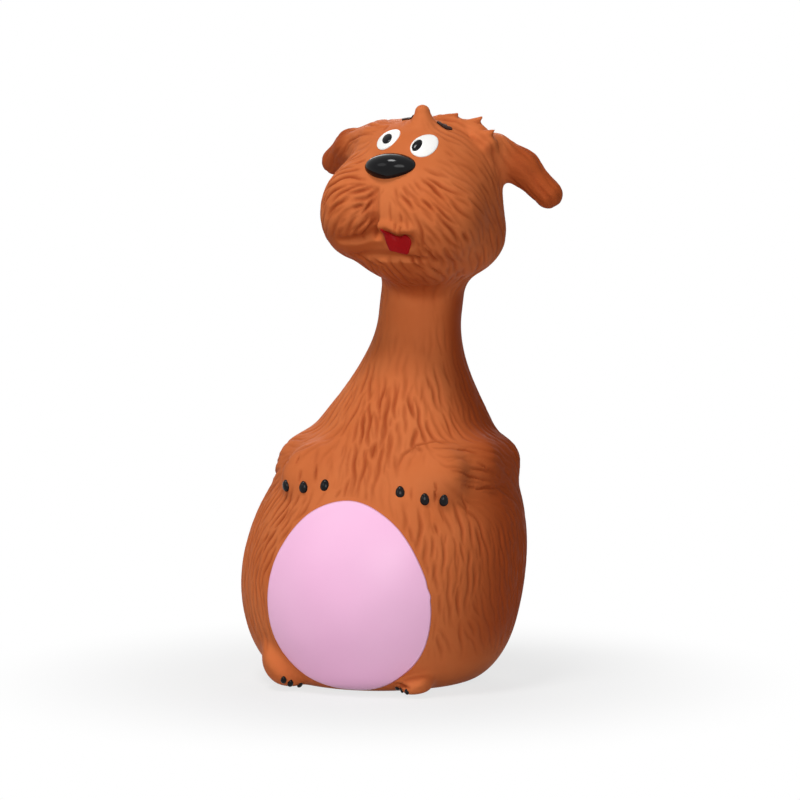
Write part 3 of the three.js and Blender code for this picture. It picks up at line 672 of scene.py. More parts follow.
# combing: where the hair runs from, where to, and how deep it is cut there; the head's lie in its own frame
headCombs = (((-4.6, -25.4, 25.2), (-11, -25.2, 24.2), 0.9), ((-11, -25.4, 23), (-14.8, -23.6, 19.2), 1),
             ((-3.7, -26.1, 23), (-8.6, -26.8, 21.6), 1), ((-8.6, -27, 21), (-12.2, -26.4, 17.4), 1),
             ((-3.6, -26.6, 20.6), (-7.6, -27.5, 17.6), 1), ((-7.8, -27.6, 17.6), (-10.4, -27, 14), 1),
             ((-3.6, -26.6, 17.8), (-6.2, -27.2, 14.8), 0.9), ((-13, -25, 17.6), (-15, -22.6, 13.6), 0.9),
             ((-15.5, -21, 22), (-17.8, -16, 17), 0.8), ((-1.6, -25.4, 22), (-1.6, -25.6, 17), 0.1),
             ((0.4, -24.9, 24.4), (7.0, -27.2, 18.9), 0.9), ((3, -24.9, 25.6), (10.5, -27.2, 19.6), 1),
             ((5.4, -24.2, 27.1), (13.4, -24.6, 23.2), 1), ((7, -23.5, 27.9), (16, -20.6, 24.1), 0.55),
             ((9.9, -26.2, 23.3), (16, -23.8, 17.8), 1), ((13.4, -23.6, 24.5), (18.4, -16.3, 20.6), 0.5),
             ((9.3, -27.6, 16.3), (11.5, -17.6, 6.3), 1), ((12.5, -26.6, 17.5), (15.5, -18.3, 10.3), 1),
             ((17.2, -20.7, 21.4), (18.8, -11.1, 15.3), 0.5), ((18.6, -16, 17.1), (18, -10.1, 11.2), 0.7),
             ((-6.1, -22.6, 8.5), (-5.1, -21.1, 6.3), 0.7), ((0.5, -22.6, 8.0), (1.2, -22.2, 6.2), 0.7),
             ((6.4, -23, 8.5), (7.8, -20.7, 6), 0.8), ((-8.7, -25.6, 11), (-6.9, -23, 9.8), 0),
             ((0, -24, 11), (0, -23, 10), 0), ((11.2, -13.5, 34.7), (14.4, -11.4, 32.4), 0.35),
             ((14, -4, 36), (15.8, -3.9, 32.1), 0.45), ((-1, -16.7, 37), (0.2, -20, 34.5), 0),
             ((5, -21, 31), (9, -19, 30), 0.1), ((11, -17, 31), (14, -15, 29), 0.3),
             ((18, -2, 34.5), (22.9, -2, 31.9), 0.7), ((22.9, 1, 31.9), (27.3, 2, 26.2), 0.5),
             ((-17, -2, 35), (-19.3, -2, 33.3), 0.7), ((-20, 1, 32.3), (-25, 2, 27), 0.5),
             ((-12, -13, 34), (-15, -9, 33), 0.3), ((-17, -8, 22), (-17.5, -4, 17), 0.6),
             ((-16, -12, 12), (-14, -9, 8), 0.6), ((0, 9, 26), (0, 9.5, 18), 0.8),
             ((-12, 6, 28), (-13, 7, 20), 0.7), ((12, 6, 28), (13, 7, 20), 0.7),
             ((0, -4, 39.5), (0, 2, 38), 0.5), ((8, -3, 38), (11, 2, 35), 0.5),
             ((-8, -3, 38), (-11, 2, 35), 0.5), ((0, 8, 10), (0, 6, 5), 0.6),
             ((-13, 2, 10), (-11, 1, 5), 0.5), ((14, 2, 10), (12, 1, 5), 0.5))
bodyCombs = (((1.5, -10.6, 64.6), (2.7, -16.3, 57.4), 1), ((2.7, -16.3, 57.4), (3.2, -22.1, 49.7), 1),
             ((10.5, -10.1, 64.8), (12.3, -14.4, 58), 0.9), ((17.3, -5.5, 64.6), (20.5, -8.8, 57.2), 0.6),
             ((-7.9, -10.2, 59.4), (-12.4, -14.1, 54.1), 0.35), ((-4, -9.5, 64), (-5, -14, 58), 0.6),
             ((-14, -16, 54), (-19, -8, 51), 0.35), ((-11.4, -22.9, 42.8), (-17.1, -23.2, 36), 0.9),
             ((-17.1, -23.2, 36), (-20.8, -22.5, 30.3), 0.9), ((-26.1, -12, 36.1), (-27, -14, 24), 0.5),
             ((-21.5, -21.5, 20), (-20.5, -22, 13), 0.45), ((21.5, -20.7, 50.7), (26.9, -11.6, 49.4), 0.3),
             ((26.9, -11.6, 49.4), (30.1, -2.1, 44.7), 0.75),
             ((22.1, -20.9, 47.4), (29.1, -6.9, 44.6), 0.3),
             ((22.6, -20.7, 38.7), (24.2, -21.4, 30.1), 0.7),
             ((24.2, -21.4, 30.1), (24, -21.5, 21.4), 0.55),
             ((18.1, -24.7, 36.8), (18.3, -26.4, 28.4), 0.6),
             ((28.2, -14.1, 38.1), (30.1, -12.7, 24.9), 0.6),
             ((26.4, -16.8, 15.4), (26.8, -14.3, 12.3), 0.4), ((14, -24, 49), (14, -24, 46), 0),
             ((-12, -24, 48), (-12, -24, 46), 0), ((-21, -12, 50), (-23, -3, 46), 0.8),
             ((0, 27, 34), (0, 29.5, 20), 0.8), ((-20, 20, 35), (-21, 21, 22), 0.8),
             ((22, 20, 35), (22, 21, 22), 0.8), ((8, 14, 62), (7, 20, 50), 0.8),
             ((-6, 12, 58), (-9, 17, 48), 0.8), ((20, 12, 58), (23, 16, 48), 0.8),
             ((-29, 3, 32), (-30, 3, 20), 0.7), ((33, 3, 32), (33, 3, 20), 0.8),
             ((4, -5, 75), (4, -7, 70), 0.25), ((7, 14, 75), (7, 16, 70), 0.3),
             ((7, -4, 85), (7, -4, 79), 0), ((17, 5, 84), (17, 5, 78), 0), ((-2, 5, 84), (-2, 5, 78), 0),
             ((8, 15, 84), (8, 15, 78), 0.1))
combForm = {"locks": {"seed": 11, "gap": 1.3, "length": (7.0, 19.0), "width": (0.58, 0.86),
                      "deep": (0.45, 1.35)},
            "hairs": {"seed": 23, "gap": 1.3, "length": (3.0, 7.5), "width": (0.42, 0.6), "deep": (0.2, 0.6)},
            "near": 0.6, "fade": 3.2, "step": 0.45, "depth": 0.5,
            "wiggle": 0.17, "wiggleRate": 0.9, "stray": 0.09, "phase": 6.28,
            "tries": 26000, "startFrom": 0.14, "stopAt": 0.1, "chance": 1.6, "fewest": 6,
            "thin": 0.3, "vary": (0.92, 1.15), "closer": 0.7,
            "taper": (0.06, 0.88, 0.7), "handTaper": (0.08, 0.84)}
combBatch = 40000


def combField(points, normals):
    at = np.array([fromHead(c[0]) for c in headCombs] + [c[0] for c in bodyCombs], float)
    to = np.array([fromHead(c[1]) for c in headCombs] + [c[1] for c in bodyCombs], float)
    deep = np.array([c[2] for c in headCombs + bodyCombs], float)
    run = (to - at) / np.linalg.norm(to - at, axis=1, keepdims=True)
    centre = (at + to) / 2
    flow, amount = np.empty_like(points), np.empty(len(points))
    for part in np.array_split(np.arange(len(points)), len(points) // combBatch + 1):
        near = np.linalg.norm(points[part][:, None] - centre[None], axis=2)
        weight = 1 / (near + combForm["near"]) ** combForm["fade"]
        weight /= weight.sum(1, keepdims=True)
        flow[part], amount[part] = weight @ run, weight @ deep
    flow -= normals * (flow * normals).sum(1, keepdims=True)
    flow /= np.linalg.norm(flow, axis=1, keepdims=True) + 1e-9
    return flow, amount * bareSpots(points)


# smooth places: the belly, the base, and on the head the nose, eyes, mouth, jaw, lobe crease and tuft
bareForm = {"belly": (1.015, 0.05), "base": (5, 9), "edge": (0.9, 0.25),
            "spots": (((-1, -23, 28.3), (7.2, 8, 4.8)), ((-3.9, -19.8, 34), (4.6, 6, 3.8)),
                      ((4.8, -20.2, 33.4), (4.6, 6, 3.8)), ((2.8, -26, 12.4), (5.2, 5, 4.4)),
                      ((-5.5, -25, 10.3), (9.0, 6, 1.8)), ((-1.0, -26, 17.5), (1.9, 4, 5.0)),
                      ((1.4, -12.8, 42), (3.6, 3.6, 3.6)))}


def bareSpots(p):
    keep = rise(bellyShare(p), *bareForm["belly"]) * rise(p[:, 2], *bareForm["base"])
    h = toHead(p)
    for centre, radii in bareForm["spots"]:
        far = np.linalg.norm((h - np.array(centre)) / np.array(radii), axis=1)
        keep *= rise(far, *bareForm["edge"])
    return keep


class StrokeMap:
    # the strokes so far, by cells of 2 mm, so that new ones keep their gap
    cell = 2

    def __init__(self):
        self.taken = {}

    def cellOf(self, p):
        return tuple(int(c // self.cell) for c in p)

    def add(self, spot):
        self.taken.setdefault(self.cellOf(spot), []).append(spot)

    def crowded(self, p, gap):
        steps = [(c - 1, c, c + 1) for c in self.cellOf(p)]
        nearby = (q for cell in itertools.product(*steps) for q in self.taken.get(cell, ()))
        return any((q - p).length_squared < gap * gap for q in nearby)


def traceStrokes(kind, points, quads, tree, flow, amount):
    c, f = combForm, combForm[kind]
    pick = random.Random(f["seed"])
    step, taken = c["step"], StrokeMap()

    def walk(start, sign, length, phase, gap, stray):
        p, path = start, []
        for i in range(int(length / step)):
            spot, normal, face, far = tree.find_nearest(p)
            v = quads[face][0]
            if amount[v] < c["stopAt"] or taken.crowded(spot, gap):
                break
            path.append((spot, amount[v]))
            ahead = Vector(flow[v]) * sign
            sway = c["wiggle"] * math.cos(phase + sign * i * step * c["wiggleRate"])
            ahead += normal.cross(ahead) * (stray + sway)
            p = spot + ahead.normalized() * step
        return path

    strokes = []
    seeds = np.flatnonzero(amount > c["startFrom"]).tolist()
    first, span, power = c["taper"]
    for v in pick.sample(seeds, min(len(seeds), c["tries"])):
        start = Vector(points[v])
        gap = f["gap"] * (1 + c["thin"] - c["thin"] * amount[v]) * pick.uniform(*c["vary"])
        reach, phase = pick.uniform(*f["length"]) / 2, pick.uniform(0, c["phase"])
        if pick.random() > amount[v] * c["chance"] or taken.crowded(start, gap):
            continue
        way = (phase, c["closer"] * gap, pick.gauss(0, c["stray"]))
        path = walk(start, -1, reach, *way)[::-1][:-1] + walk(start, 1, reach, *way)
        if len(path) < c["fewest"]:
            continue
        for spot, _ in path:
            taken.add(spot)
        wide, deep = pick.uniform(*f["width"]), pick.uniform(*f["deep"])
        n = len(path) - 1
        strokes.append([(spot, wide, deep * strong * math.sin(math.pi * (first + span * i / n)) ** power)
                        for i, (spot, strong) in enumerate(path)])
    return strokes


# cuts set one by one: the path's points, then half its width and its depth
handCuts = (((10.0, -22.4, 47.9), (9.7, -21.1, 50.0), (10.5, -19.2, 52.4), (12.9, -17.0, 54.4),
             (16.9, -15.1, 55.2), (21.0, -13.3, 54.7), 0.6, 0.8),  # edge of the near paw
            ((18.8, -22.7, 46.8), (18.6, -22.1, 42.4), 0.55, 1.0),  # clefts between the toes
            ((13.7, -24.5, 46.2), (13.8, -24, 43.0), 0.5, 0.5),
            ((-8.5, -21.6, 50.3), (-8.4, -22.8, 46.3), 0.55, 0.9),
            ((-11.9, -22.3, 48.8), (-12.2, -22.7, 46.2), 0.5, 0.7),
            ((-16.5, -14.6, 51.2), (-15.8, -19.6, 50.0), 0.55, 0.8),
            ((-12.9, -19.9, 51.8), (-13.4, -21.4, 49.6), 0.5, 0.7),
            ((9.6, -23, 2.2), (11.4, -24, 2.6), (13.6, -25.3, 2.3), 0.6, 1.3),  # hind foot
            ((20.7, -16.2, 53.9), (23.1, -13.4, 53.4), (25.8, -11.8, 52.3), 0.65, 0.9),  # forearm
            ((21.1, -20.2, 51.5), (22.7, -17.7, 51.9), (24.1, -13.8, 52.0), 0.5, 0.4),
            ((25.7, -13.0, 50.5), (27.4, -11.6, 49.2), (28.9, -8.7, 47.8), 0.6, 1.0),
            ((24.5, -15.2, 49.5), (26.7, -12.4, 48.9), (28.6, -9.4, 47.3), 0.6, 0.9),
            ((22.0, -21.0, 49.4), (24.2, -17.5, 48.5), (26.4, -13.0, 46.8), (28.3, -10.0, 46.5), 0.7, 1.0),
            ((23.7, -18.9, 46.2), (26.1, -13.6, 45.0), (28.4, -9.6, 44.9), (29.9, -4.6, 44.9), 0.7, 1.1),
            ((22.8, -20.7, 47.6), (24.6, -15.4, 46.5), (26.9, -12.4, 45.8), 0.55, 0.5),
            ((23.4, -17.9, 44.1), (24.3, -17.6, 41.5), (24.8, -18.1, 39.4), 0.6, 0.8),
            ((12.3, -17.8, 94.2), (14.5, -15.9, 92.2), 0.6, 1.0),  # beard
            ((15.4, -16.9, 93.7), (17.5, -12.1, 90.9), 0.6, 1.0),
            ((15.5, -21.1, 97.8), (17.9, -16.1, 94.2), 0.7, 1.2),
            ((2.3, -15.5, 95.1), (5.9, -16.8, 93.0), 0.6, 0.9),
            ((-1.7, -16.4, 96.1), (0.7, -14.8, 94.4), (4.2, -15.7, 92.0), 0.6, 0.9),
            ((-1.2, -4.5, 123.6), (-7.4, 0.8, 121.8), (-11.8, 3.4, 118.7), 0.6, 0.8),  # right ear
            ((0.8, -9.5, 121.8), (-5.5, -1.7, 120.1), (-10.4, 2.7, 116.9), 0.6, 0.8))
lipCuts = (((2.9, 16.4), (3.3, 14.5), 0.5, 0.8), ((4.5, 16.2), (4.3, 14.6), 0.5, 0.8))  # by x and z


def handStrokes(tree):
    onLip = [(*fromHead(onFace(line[:2], 0)), *line[2:]) for line in lipCuts]
    first, span = combForm["handTaper"]
    for *corners, wide, deep in [*handCuts, *onLip]:
        path = [Vector(p) for p in corners]
        fine = []
        for a, b in zip(path, path[1:]):
            count = max(int((b - a).length / combForm["step"]), 2)
            fine += [a.lerp(b, i / count) for i in range(count)]
        count = len(fine)
        yield [(tree.find_nearest(spot)[0], wide, deep * math.sin(math.pi * (first + span * i / count)))
               for i, spot in enumerate(fine + [path[-1]])]


def strokeObject(name, strokes):
    spots = [p for line in strokes for p in line]
    ends = np.cumsum([0] + [len(line) for line in strokes])
    links = [(i, i + 1) for a, b in zip(ends, ends[1:]) for i in range(a, b - 1)]
    mesh = bpy.data.meshes.new(name)
    mesh.from_pydata([tuple(s[0] * mm) for s in spots], links, [])
    for k, kind in ((1, "half"), (2, "deep")):
        mesh.attributes.new(kind, "FLOAT", "POINT").data.foreach_set("value", [s[k] for s in spots])
    return addObject(name, mesh)


skinTree = BVHTree.FromPolygons(skinPoints.tolist(), skinQuads.tolist())
flow, amount = combField(skinPoints, skinNormals)
strokes = {}
for kind in ("locks", "hairs"):
    strokes[kind] = traceStrokes(kind, skinPoints, skinQuads, skinTree, flow, amount)
strokes["locks"] += handStrokes(skinTree)
print("fur strokes:", {kind: len(lines) for kind, lines in strokes.items()})


# Geometry Nodes: cut the strokes into the surface and keep how deep each point lies, which darkens the latex there as
# painted shade in the grooves
def combTree(finish):
    tree, given, sockets = geometryGroup("combFur", Strokes="Object", Depth="Float", Width="Float")
    link = tree.links.new
    lines = addNode(tree, "GeometryNodeObjectInfo", transform_space="ORIGINAL")
    link(given.outputs["Strokes"], lines.inputs["Object"])
    near = addNode(tree, "GeometryNodeProximity", target_element="EDGES")
    link(lines.outputs["Geometry"], near.inputs[0])
    index = addNode(tree, "GeometryNodeSampleNearest", domain="POINT")
    link(lines.outputs["Geometry"], index.inputs["Geometry"])
    read = {}
    for name in ("half", "deep"):
        sample = addNode(tree, "GeometryNodeSampleIndex", data_type="FLOAT", domain="POINT")
        link(lines.outputs["Geometry"], sample.inputs["Geometry"])
        link(namedValue(tree, name), sample.inputs["Value"])
        link(index.outputs["Index"], sample.inputs["Index"])
        read[name] = sample.outputs["Value"]
    hollow = addNode(tree, "ShaderNodeMapRange", interpolation_type="SMOOTHSTEP")
    hollow.inputs["To Min"].default_value, hollow.inputs["To Max"].default_value = 1, 0
    link(near.outputs["Distance"], hollow.inputs["Value"])
    link(mathNode(tree, "MULTIPLY", read["half"], given.outputs["Width"]), hollow.inputs["From Max"])
    carve = mathNode(tree, "MULTIPLY", hollow.outputs["Result"], read["deep"])
    down = mathNode(tree, "MULTIPLY", mathNode(tree, "MULTIPLY", carve, given.outputs["Depth"]), -1)
    push = addNode(tree, "ShaderNodeVectorMath", operation="SCALE")
    link(addNode(tree, "GeometryNodeInputNormal").outputs["Normal"], push.inputs[0])
    link(down, push.inputs["Scale"])
    keep = addNode(tree, "GeometryNodeStoreNamedAttribute", data_type="FLOAT", domain="POINT")
    keep.inputs["Name"].default_value = "grooveShade"
    link(given.outputs["Geometry"], keep.inputs["Geometry"])
    link(mathNode(tree, "ADD", namedValue(tree, "grooveShade"), carve), keep.inputs["Value"])
    move = addNode(tree, "GeometryNodeSetPosition")
    link(keep.outputs["Geometry"], move.inputs["Geometry"])
    link(push.outputs["Vector"], move.inputs["Offset"])
    endGroup(tree, move.outputs["Geometry"], finish)
    return tree, sockets


def settle(piece):
    # the evaluated result becomes the piece's own plain mesh
    done = bpy.data.meshes.new_from_object(piece.evaluated_get(bpy.context.evaluated_depsgraph_get()))
    piece.modifiers.clear()
    old, piece.data = piece.data, done
    bpy.data.meshes.remove(old)
    return piece


tree, sockets = combTree(orangeLatex)
for kind, lines in strokes.items():
    guide = strokeObject(kind, lines)
    comb = figure.modifiers.new(kind, "NODES")
    comb.node_group = tree
    comb[sockets["Strokes"]] = guide
    comb[sockets["Depth"]] = combForm["depth"] * mm
    comb[sockets["Width"]] = mm
    settle(figure)
    bpy.data.objects.remove(guide)
carved = readLayer(figure.data.vertices, "co").astype(float) / mm
carvedNormals = readLayer(figure.data.vertex_normals, "vector")
grooveShade = readLayer(figure.data.attributes["grooveShade"].data, "value", 1)[:, 0]

# painted shade: darker latex in the folds of the face, down the dog's left side, under the chin and on the ears
paintedShadeForm = {"fold": 0.7, "foldDeep": 1.3, "foldFrom": 88,
            "sideFrom": (37, 38), "sideTo": (185, 70), "sideUp": (2, 14), "sideTop": (84, 10),
            "under": 0.65, "underSlope": (-0.05, 0.5), "underUp": (80, 8),
            "underLess": 0.7, "underPast": (5, 6),
            "ears": 0.8, "earOut": (16, 5), "earsFrom": 95}


# painted shade in the folds of the face, where the lines are cut into the skull
def foldShade(points):
    t, h = paintedShadeForm, toHead(points)
    return t["fold"] * rise(headField(h) - skullField(h), 0, t["foldDeep"]) * (points[:, 2] > t["foldFrom"])


# painted shade, by which way a point faces and how high it is
def paintedLatexShade(points, normals):
    t, out, z = paintedShadeForm, toHead(points)[:, 0], points[:, 2]
    x0, y0 = spine(z)
    bearing = np.degrees(np.arctan2(points[:, 0] - x0, y0 - points[:, 1])) % 360
    side = rise(bearing, *t["sideFrom"]) * fall(bearing, *t["sideTo"])
    side *= rise(z, *t["sideUp"]) * (1 - rise(z, *t["sideTop"]))
    under = fall(normals[:, 2], *t["underSlope"])
    under *= t["under"] * rise(z, *t["underUp"]) * (1 - t["underLess"] * rise(out, *t["underPast"]))
    ears = t["ears"] * rise(np.abs(out), *t["earOut"]) * (z > t["earsFrom"])
    return np.max([side, under, ears], axis=0).astype(np.float32)


grooveShade = np.clip(grooveShade + foldShade(carved), 0, 1).astype(np.float32)
paintedShade = paintedLatexShade(carved, skinNormals)
bpy.data.objects.remove(figure)
print("fur cut in, deepest", round(float(grooveShade.max()), 2))

# part the surface where the toy flexes: belly band, throat, head and ears
partForm = {"hip": 20.0, "waist": 40.0, "throat": 72.0, "nape": 84.4, "chin": 89.8,
            "bellyFrom": -13.0, "bellyTo": -31.6, "bellyHeight": 20.0,
            "earFrom": 18.4, "earTo": 25.5, "earHeight": 32,
            "earRoot": 15.5, "earSkin": 1.2, "earOver": 0.2, "evenRounds": 8,
            "rimDepth": 1.0, "rimInset": 1.7, "rimTip": 1.6}


def rimLoops(bm):
    # dictionaries keep their order, so each run gives the same mesh
    left = dict.fromkeys(e for e in bm.edges if e.is_boundary)
    while left:
        first, _ = left.popitem()
        loop, grow = [], [first]
        while grow:
            e = grow.pop()
            loop.append(e)
            for v in e.verts:
                for other in v.link_edges:
                    if other in left:
                        del left[other]
                        grow.append(other)
        yield loop


def closeRims(mesh):
    bm = bmesh.new()
    bm.from_mesh(mesh)
    bm.normal_update()
    for loop in list(rimLoops(bm)):
        spots = list(dict.fromkeys(v for e in loop for v in e.verts))
        centre = sum((v.co for v in spots), Vector()) / len(spots)
        faces = list(dict.fromkeys(f for e in loop for f in e.link_faces))
        inside = sum((f.calc_center_median() for f in faces), Vector()) / len(faces) - centre
        inside = inside.normalized() * partForm["rimDepth"] * mm
        inward = {v.co.to_tuple(9): -v.normal * partForm["rimInset"] * mm for v in spots}
        made = bmesh.ops.extrude_edge_only(bm, edges=loop)["geom"]
        for v in [g for g in made if isinstance(g, bmesh.types.BMVert)]:
            v.co += inward[v.co.to_tuple(9)] + inside
        tip = bm.verts.new(centre + inside * partForm["rimTip"])
        for e in [g for g in made if isinstance(g, bmesh.types.BMEdge) and g.is_boundary]:
            corner = e.link_loops[0]
            bm.faces.new((corner.link_loop_next.vert, corner.vert, tip))
    bm.to_mesh(mesh)
    bm.free()


def cutPiece(name, chosen):
    used, local = np.unique(skinQuads[chosen], return_inverse=True)
    mesh = meshFrom(name, carved[used], local.reshape(-1, 4))
    for kind, values in (("grooveShade", grooveShade), ("paintedShade", paintedShade)):
        mesh.attributes.new(kind, "FLOAT", "POINT").data.foreach_set("value", values[used])
    count = len(mesh.loops)
    closeRims(mesh)
    mesh.shade_smooth()
    corners = np.empty(len(mesh.loops), np.int32)
    mesh.loops.foreach_get("vertex_index", corners)
    normals = readLayer(mesh.corner_normals, "vector")
    # the skins keep the whole figure's normals, so that no seam shows
    normals[:count] = carvedNormals[used][corners[:count]]
    mesh.normals_split_custom_set(normals.tolist())
    mesh.materials.append(orangeLatex)
    piece = addObject(name, mesh)
    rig.slot(piece, "latex")
    return piece


# rounds off the ragged edge of a choice of faces and drops its strays
def evenFaces(chosen):
    corners = skinQuads.ravel()
    shared = np.maximum(np.bincount(corners), 1)
    for turn in range(partForm["evenRounds"]):
        share = np.bincount(corners, np.repeat(chosen, 4)) / shared
        chosen = share[skinQuads].mean(1) > 0.5
    return chosen


def earFaces(h):
    f, ear = partForm, earField(h)
    return (ear < f["earSkin"]) & (np.abs(h[:, 0]) > f["earRoot"]) & (ear < skullField(h) + f["earOver"])


f = partForm
middle = carved[skinQuads].mean(1)
inHead = toHead(middle)
onEar = evenFaces(earFaces(inHead))
height = middle[:, 2]
lowerSkin = cutPiece("lower_body_skin", height < f["hip"])
middleSkin = cutPiece("middle_body_skin", (height >= f["hip"]) & (height < f["waist"]))
upperSkin = cutPiece("upper_body_skin", (height >= f["waist"]) & (height < f["throat"]))
throatSkin = cutPiece("throat_skin", (height >= f["throat"]) & (height < f["nape"]))
headSkin = cutPiece("shaggy_head_skin", (height >= f["nape"]) & ~onEar)
leftEar = cutPiece("left_ear_skin", onEar & (inHead[:, 0] > 0))
rightEar = cutPiece("right_ear_skin", onEar & (inHead[:, 0] < 0))
skins = (lowerSkin, middleSkin, upperSkin, throatSkin, headSkin, leftEar, rightEar)
print("skin pieces:", [len(piece.data.polygons) for piece in skins])

bellyEnds = {"start": (0, f["bellyFrom"] * mm, f["bellyHeight"] * mm),
             "end": (0, f["bellyTo"] * mm, f["bellyHeight"] * mm)}
neckEnds = {"start": (0, 0, f["throat"] * mm), "end": (0, 0, f["nape"] * mm)}
napeEnds = {"start": (0, 0, f["nape"] * mm), "end": (0, 0, f["chin"] * mm)}
for piece in (lowerSkin, middleSkin, upperSkin):
    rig.blend(piece, "body", "belly", **bellyEnds)
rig.blend(throatSkin, "body", "neck", **neckEnds)
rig.blend(headSkin, "neck", "head", **napeEnds)
for piece, side, body in ((leftEar, 1, "left_ear"), (rightEar, -1, "right_ear")):
    ends = [fromHead((side * x, 0, f["earHeight"])) * mm for x in (f["earFrom"], f["earTo"])]
    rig.blend(piece, "head", body, start=tuple(ends[0]), end=tuple(ends[1]))
    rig.replaces(piece, body)
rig.replaces(lowerSkin, "body_skin", "left_hind_foot", "right_hind_foot")
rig.replaces(middleSkin, "belly_wall")
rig.replaces(upperSkin, "left_front_paw", "right_front_paw")
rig.replaces(throatSkin, "neck_skin")
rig.replaces(headSkin, "head_skin", "hair_tuft", "crest_lock_front", "crest_lock_middle", "crest_lock_side")


# a closed smooth piece of rings of points, with one point at each end
def ringPiece(name, points, spokes, finish):
    last = len(points) - 1
    rows = (last - 1) // spokes

    def ring(r, s):
        return 1 + r * spokes + s % spokes

    faces = []
    for s in range(spokes):
        faces.append((0, ring(0, s), ring(0, s + 1)))
        faces.append((last, ring(rows - 1, s + 1), ring(rows - 1, s)))
        faces += [(ring(r, s), ring(r + 1, s), ring(r + 1, s + 1), ring(r, s + 1)) for r in range(rows - 1)]
    mesh = bpy.data.meshes.new(name)
    mesh.from_pydata((points * mm).tolist(), [], faces)
    bm = bmesh.new()
    bm.from_mesh(mesh)
    bmesh.ops.recalc_face_normals(bm, faces=bm.faces)
    bm.to_mesh(mesh)
    bm.free()
    mesh.shade_smooth()
    mesh.materials.append(finish)
    return addObject(name, mesh)


# painted coats: a thin closed skin over a field, with any outline round its middle
coatForm = {"standOff": 45, "shoulder": 0.985, "edgeLift": 0.02, "tuck": (0.96, 0.5)}


def coatPoints(field, outline, origin, inward, form):
    c = coatForm
    inward, across = np.array(inward, float), np.array((1, 0, 0), float)
    up = np.cross(across, inward)
    u, v = outline(np.linspace(0, 2 * np.pi, form["spokes"], endpoint=False))
    shares = np.append(np.linspace(0, 1, form["rings"] + 1)[1:-1], c["shoulder"])
    levels = [(share, form["lift"] + form["dome"] * (1 - share * share)) for share in shares]
    levels += [(1.0, c["edgeLift"]), *((share, -form["sink"]) for share in c["tuck"])]
    rows = []
    for share, level in levels:
        spot = np.array(origin, float) + np.outer(u * share, across) + np.outer(v * share, up)
        hit = march(field, spot - inward * c["standOff"], inward)
        rows.append(hit + facing(field, hit) * level)
    middle = march(field, np.array([origin], float) - inward * c["standOff"], inward)
    out = facing(field, middle)
    return np.concatenate([middle + out * (form["lift"] + form["dome"]), *rows, middle - out * form["sink"]])


def oval(halfWidth, halfHeight, tilt=0.0, point=0.0):
    def outline(angle):
        x = halfWidth * np.cos(angle)
        y = halfHeight * np.sin(angle) * (1 + point * np.cos(angle))
        c, s = math.cos(math.radians(tilt)), math.sin(math.radians(tilt))
        return x * c - y * s, x * s + y * c
    return outline


def drawn(corners):
    # a closed smooth line through a few corners
    spots = np.array(corners, float)

    def outline(angle):
        t = angle / (2 * np.pi) * len(spots)
        i, w = t.astype(int), (t % 1)[:, None]
        a, b, c, d = (spots[(i + k) % len(spots)] for k in (-1, 0, 1, 2))
        square, cube = 2 * a - 5 * b + 4 * c - d, 3 * b - a - 3 * c + d
        way = 0.5 * (2 * b + (c - a) * w + square * w ** 2 + cube * w ** 3)
        return way[:, 0], way[:, 1]
    return outline


bellyMiddle = (0, 0, (bellyForm["top"] + bellyForm["bottom"]) / 2)
bellyPoints = coatPoints(toyField, bellyEdge, bellyMiddle, (0, 1, 0), bellyForm)
bellyCoat = ringPiece("belly_coat_paint", bellyPoints, bellyForm["spokes"], pinkPaint)
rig.slot(bellyCoat, "pink_coat")
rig.blend(bellyCoat, "body", "belly", **bellyEnds)
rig.replaces(bellyCoat, "belly_coat")
print("belly painted")

# face
eyeForm = {"right": {"at": (-3.7, 0, 34.0), "outline": oval(2.75, 1.95, 38, -0.12)},
           "left": {"at": (4.9, 0, 33.4), "outline": oval(2.7, 2.45, 8, 0.05)}}
pupilForm = {"right": {"at": (-3.75, 0, 33.9), "outline": oval(1.12, 1.08)},
             "left": {"at": (3.6, 0, 33.2), "outline": oval(0.95, 1.2, -12)}}
browForm = {"left": {"at": (6.2, -12.2, 38.0),
                     "outline": drawn(((1.8, -0.2), (1.2, 0.55), (0.5, 0.4), (0.0, 0.95), (-0.9, 0.7),
                                       (-1.8, 0.85), (-1.6, -0.1), (-0.7, -0.4), (0.2, -0.75),
                                       (1.1, -0.75)))},
            "right": {"at": (-2.4, -12.0, 38.9),
                      "outline": drawn(((1.6, -0.5), (1.1, 0.5), (0.2, 1.0), (-0.8, 0.9), (-1.7, 0.2),
                                        (-1.3, -0.7), (-0.2, -0.5), (0.8, -1.0)))}}
tongueForm = {"at": (2.8, 0, 12.0),
              "outline": drawn(((3.3, 0.5), (2.8, 1.6), (1.7, 2.1), (0.8, 1.7), (-0.1, 1.6),
                                (-1.1, 1.8), (-2.4, 2.5), (-3.3, 2.9), (-3.2, 1.7), (-2.8, 0.0),
                                (-2.0, -1.6), (-0.9, -1.8), (1.2, -2.0), (2.5, -2.0), (2.9, -0.9)))}
faceForm = {"spokes": 72, "rings": 10, "sink": 0.4}
slant = math.radians(53)  # the brows lie on the slope of the forehead


def faceCoat(name, node, slot, form, finish, lift, dome, inward=(0, 1, 0)):
    coat = {**faceForm, "lift": lift, "dome": dome}
    points = coatPoints(headField, form["outline"], form["at"], inward, coat)
    piece = ringPiece(name, fromHead(points), faceForm["spokes"], finish)
    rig.slot(piece, slot)
    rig.ride(piece, "head")
    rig.replaces(piece, node)


for side in ("left", "right"):
    faceCoat(side + "_eye_paint", side + "_eye_white", "white_coat", eyeForm[side], eyeWhite,
             lift=0.14, dome=0.25)
    faceCoat(side + "_pupil_paint", side + "_pupil", "black_coat", pupilForm[side], blackGloss,
             lift=0.42, dome=0.2)
    faceCoat(side + "_brow_paint", side + "_brow", "brow_coat", browForm[side], browPaint,
             lift=0.22, dome=0.1, inward=(0, math.cos(slant), -math.sin(slant)))
faceCoat("tongue_paint", "tongue", "red_coat", tongueForm, tongueRed, lift=0.25, dome=0.5)

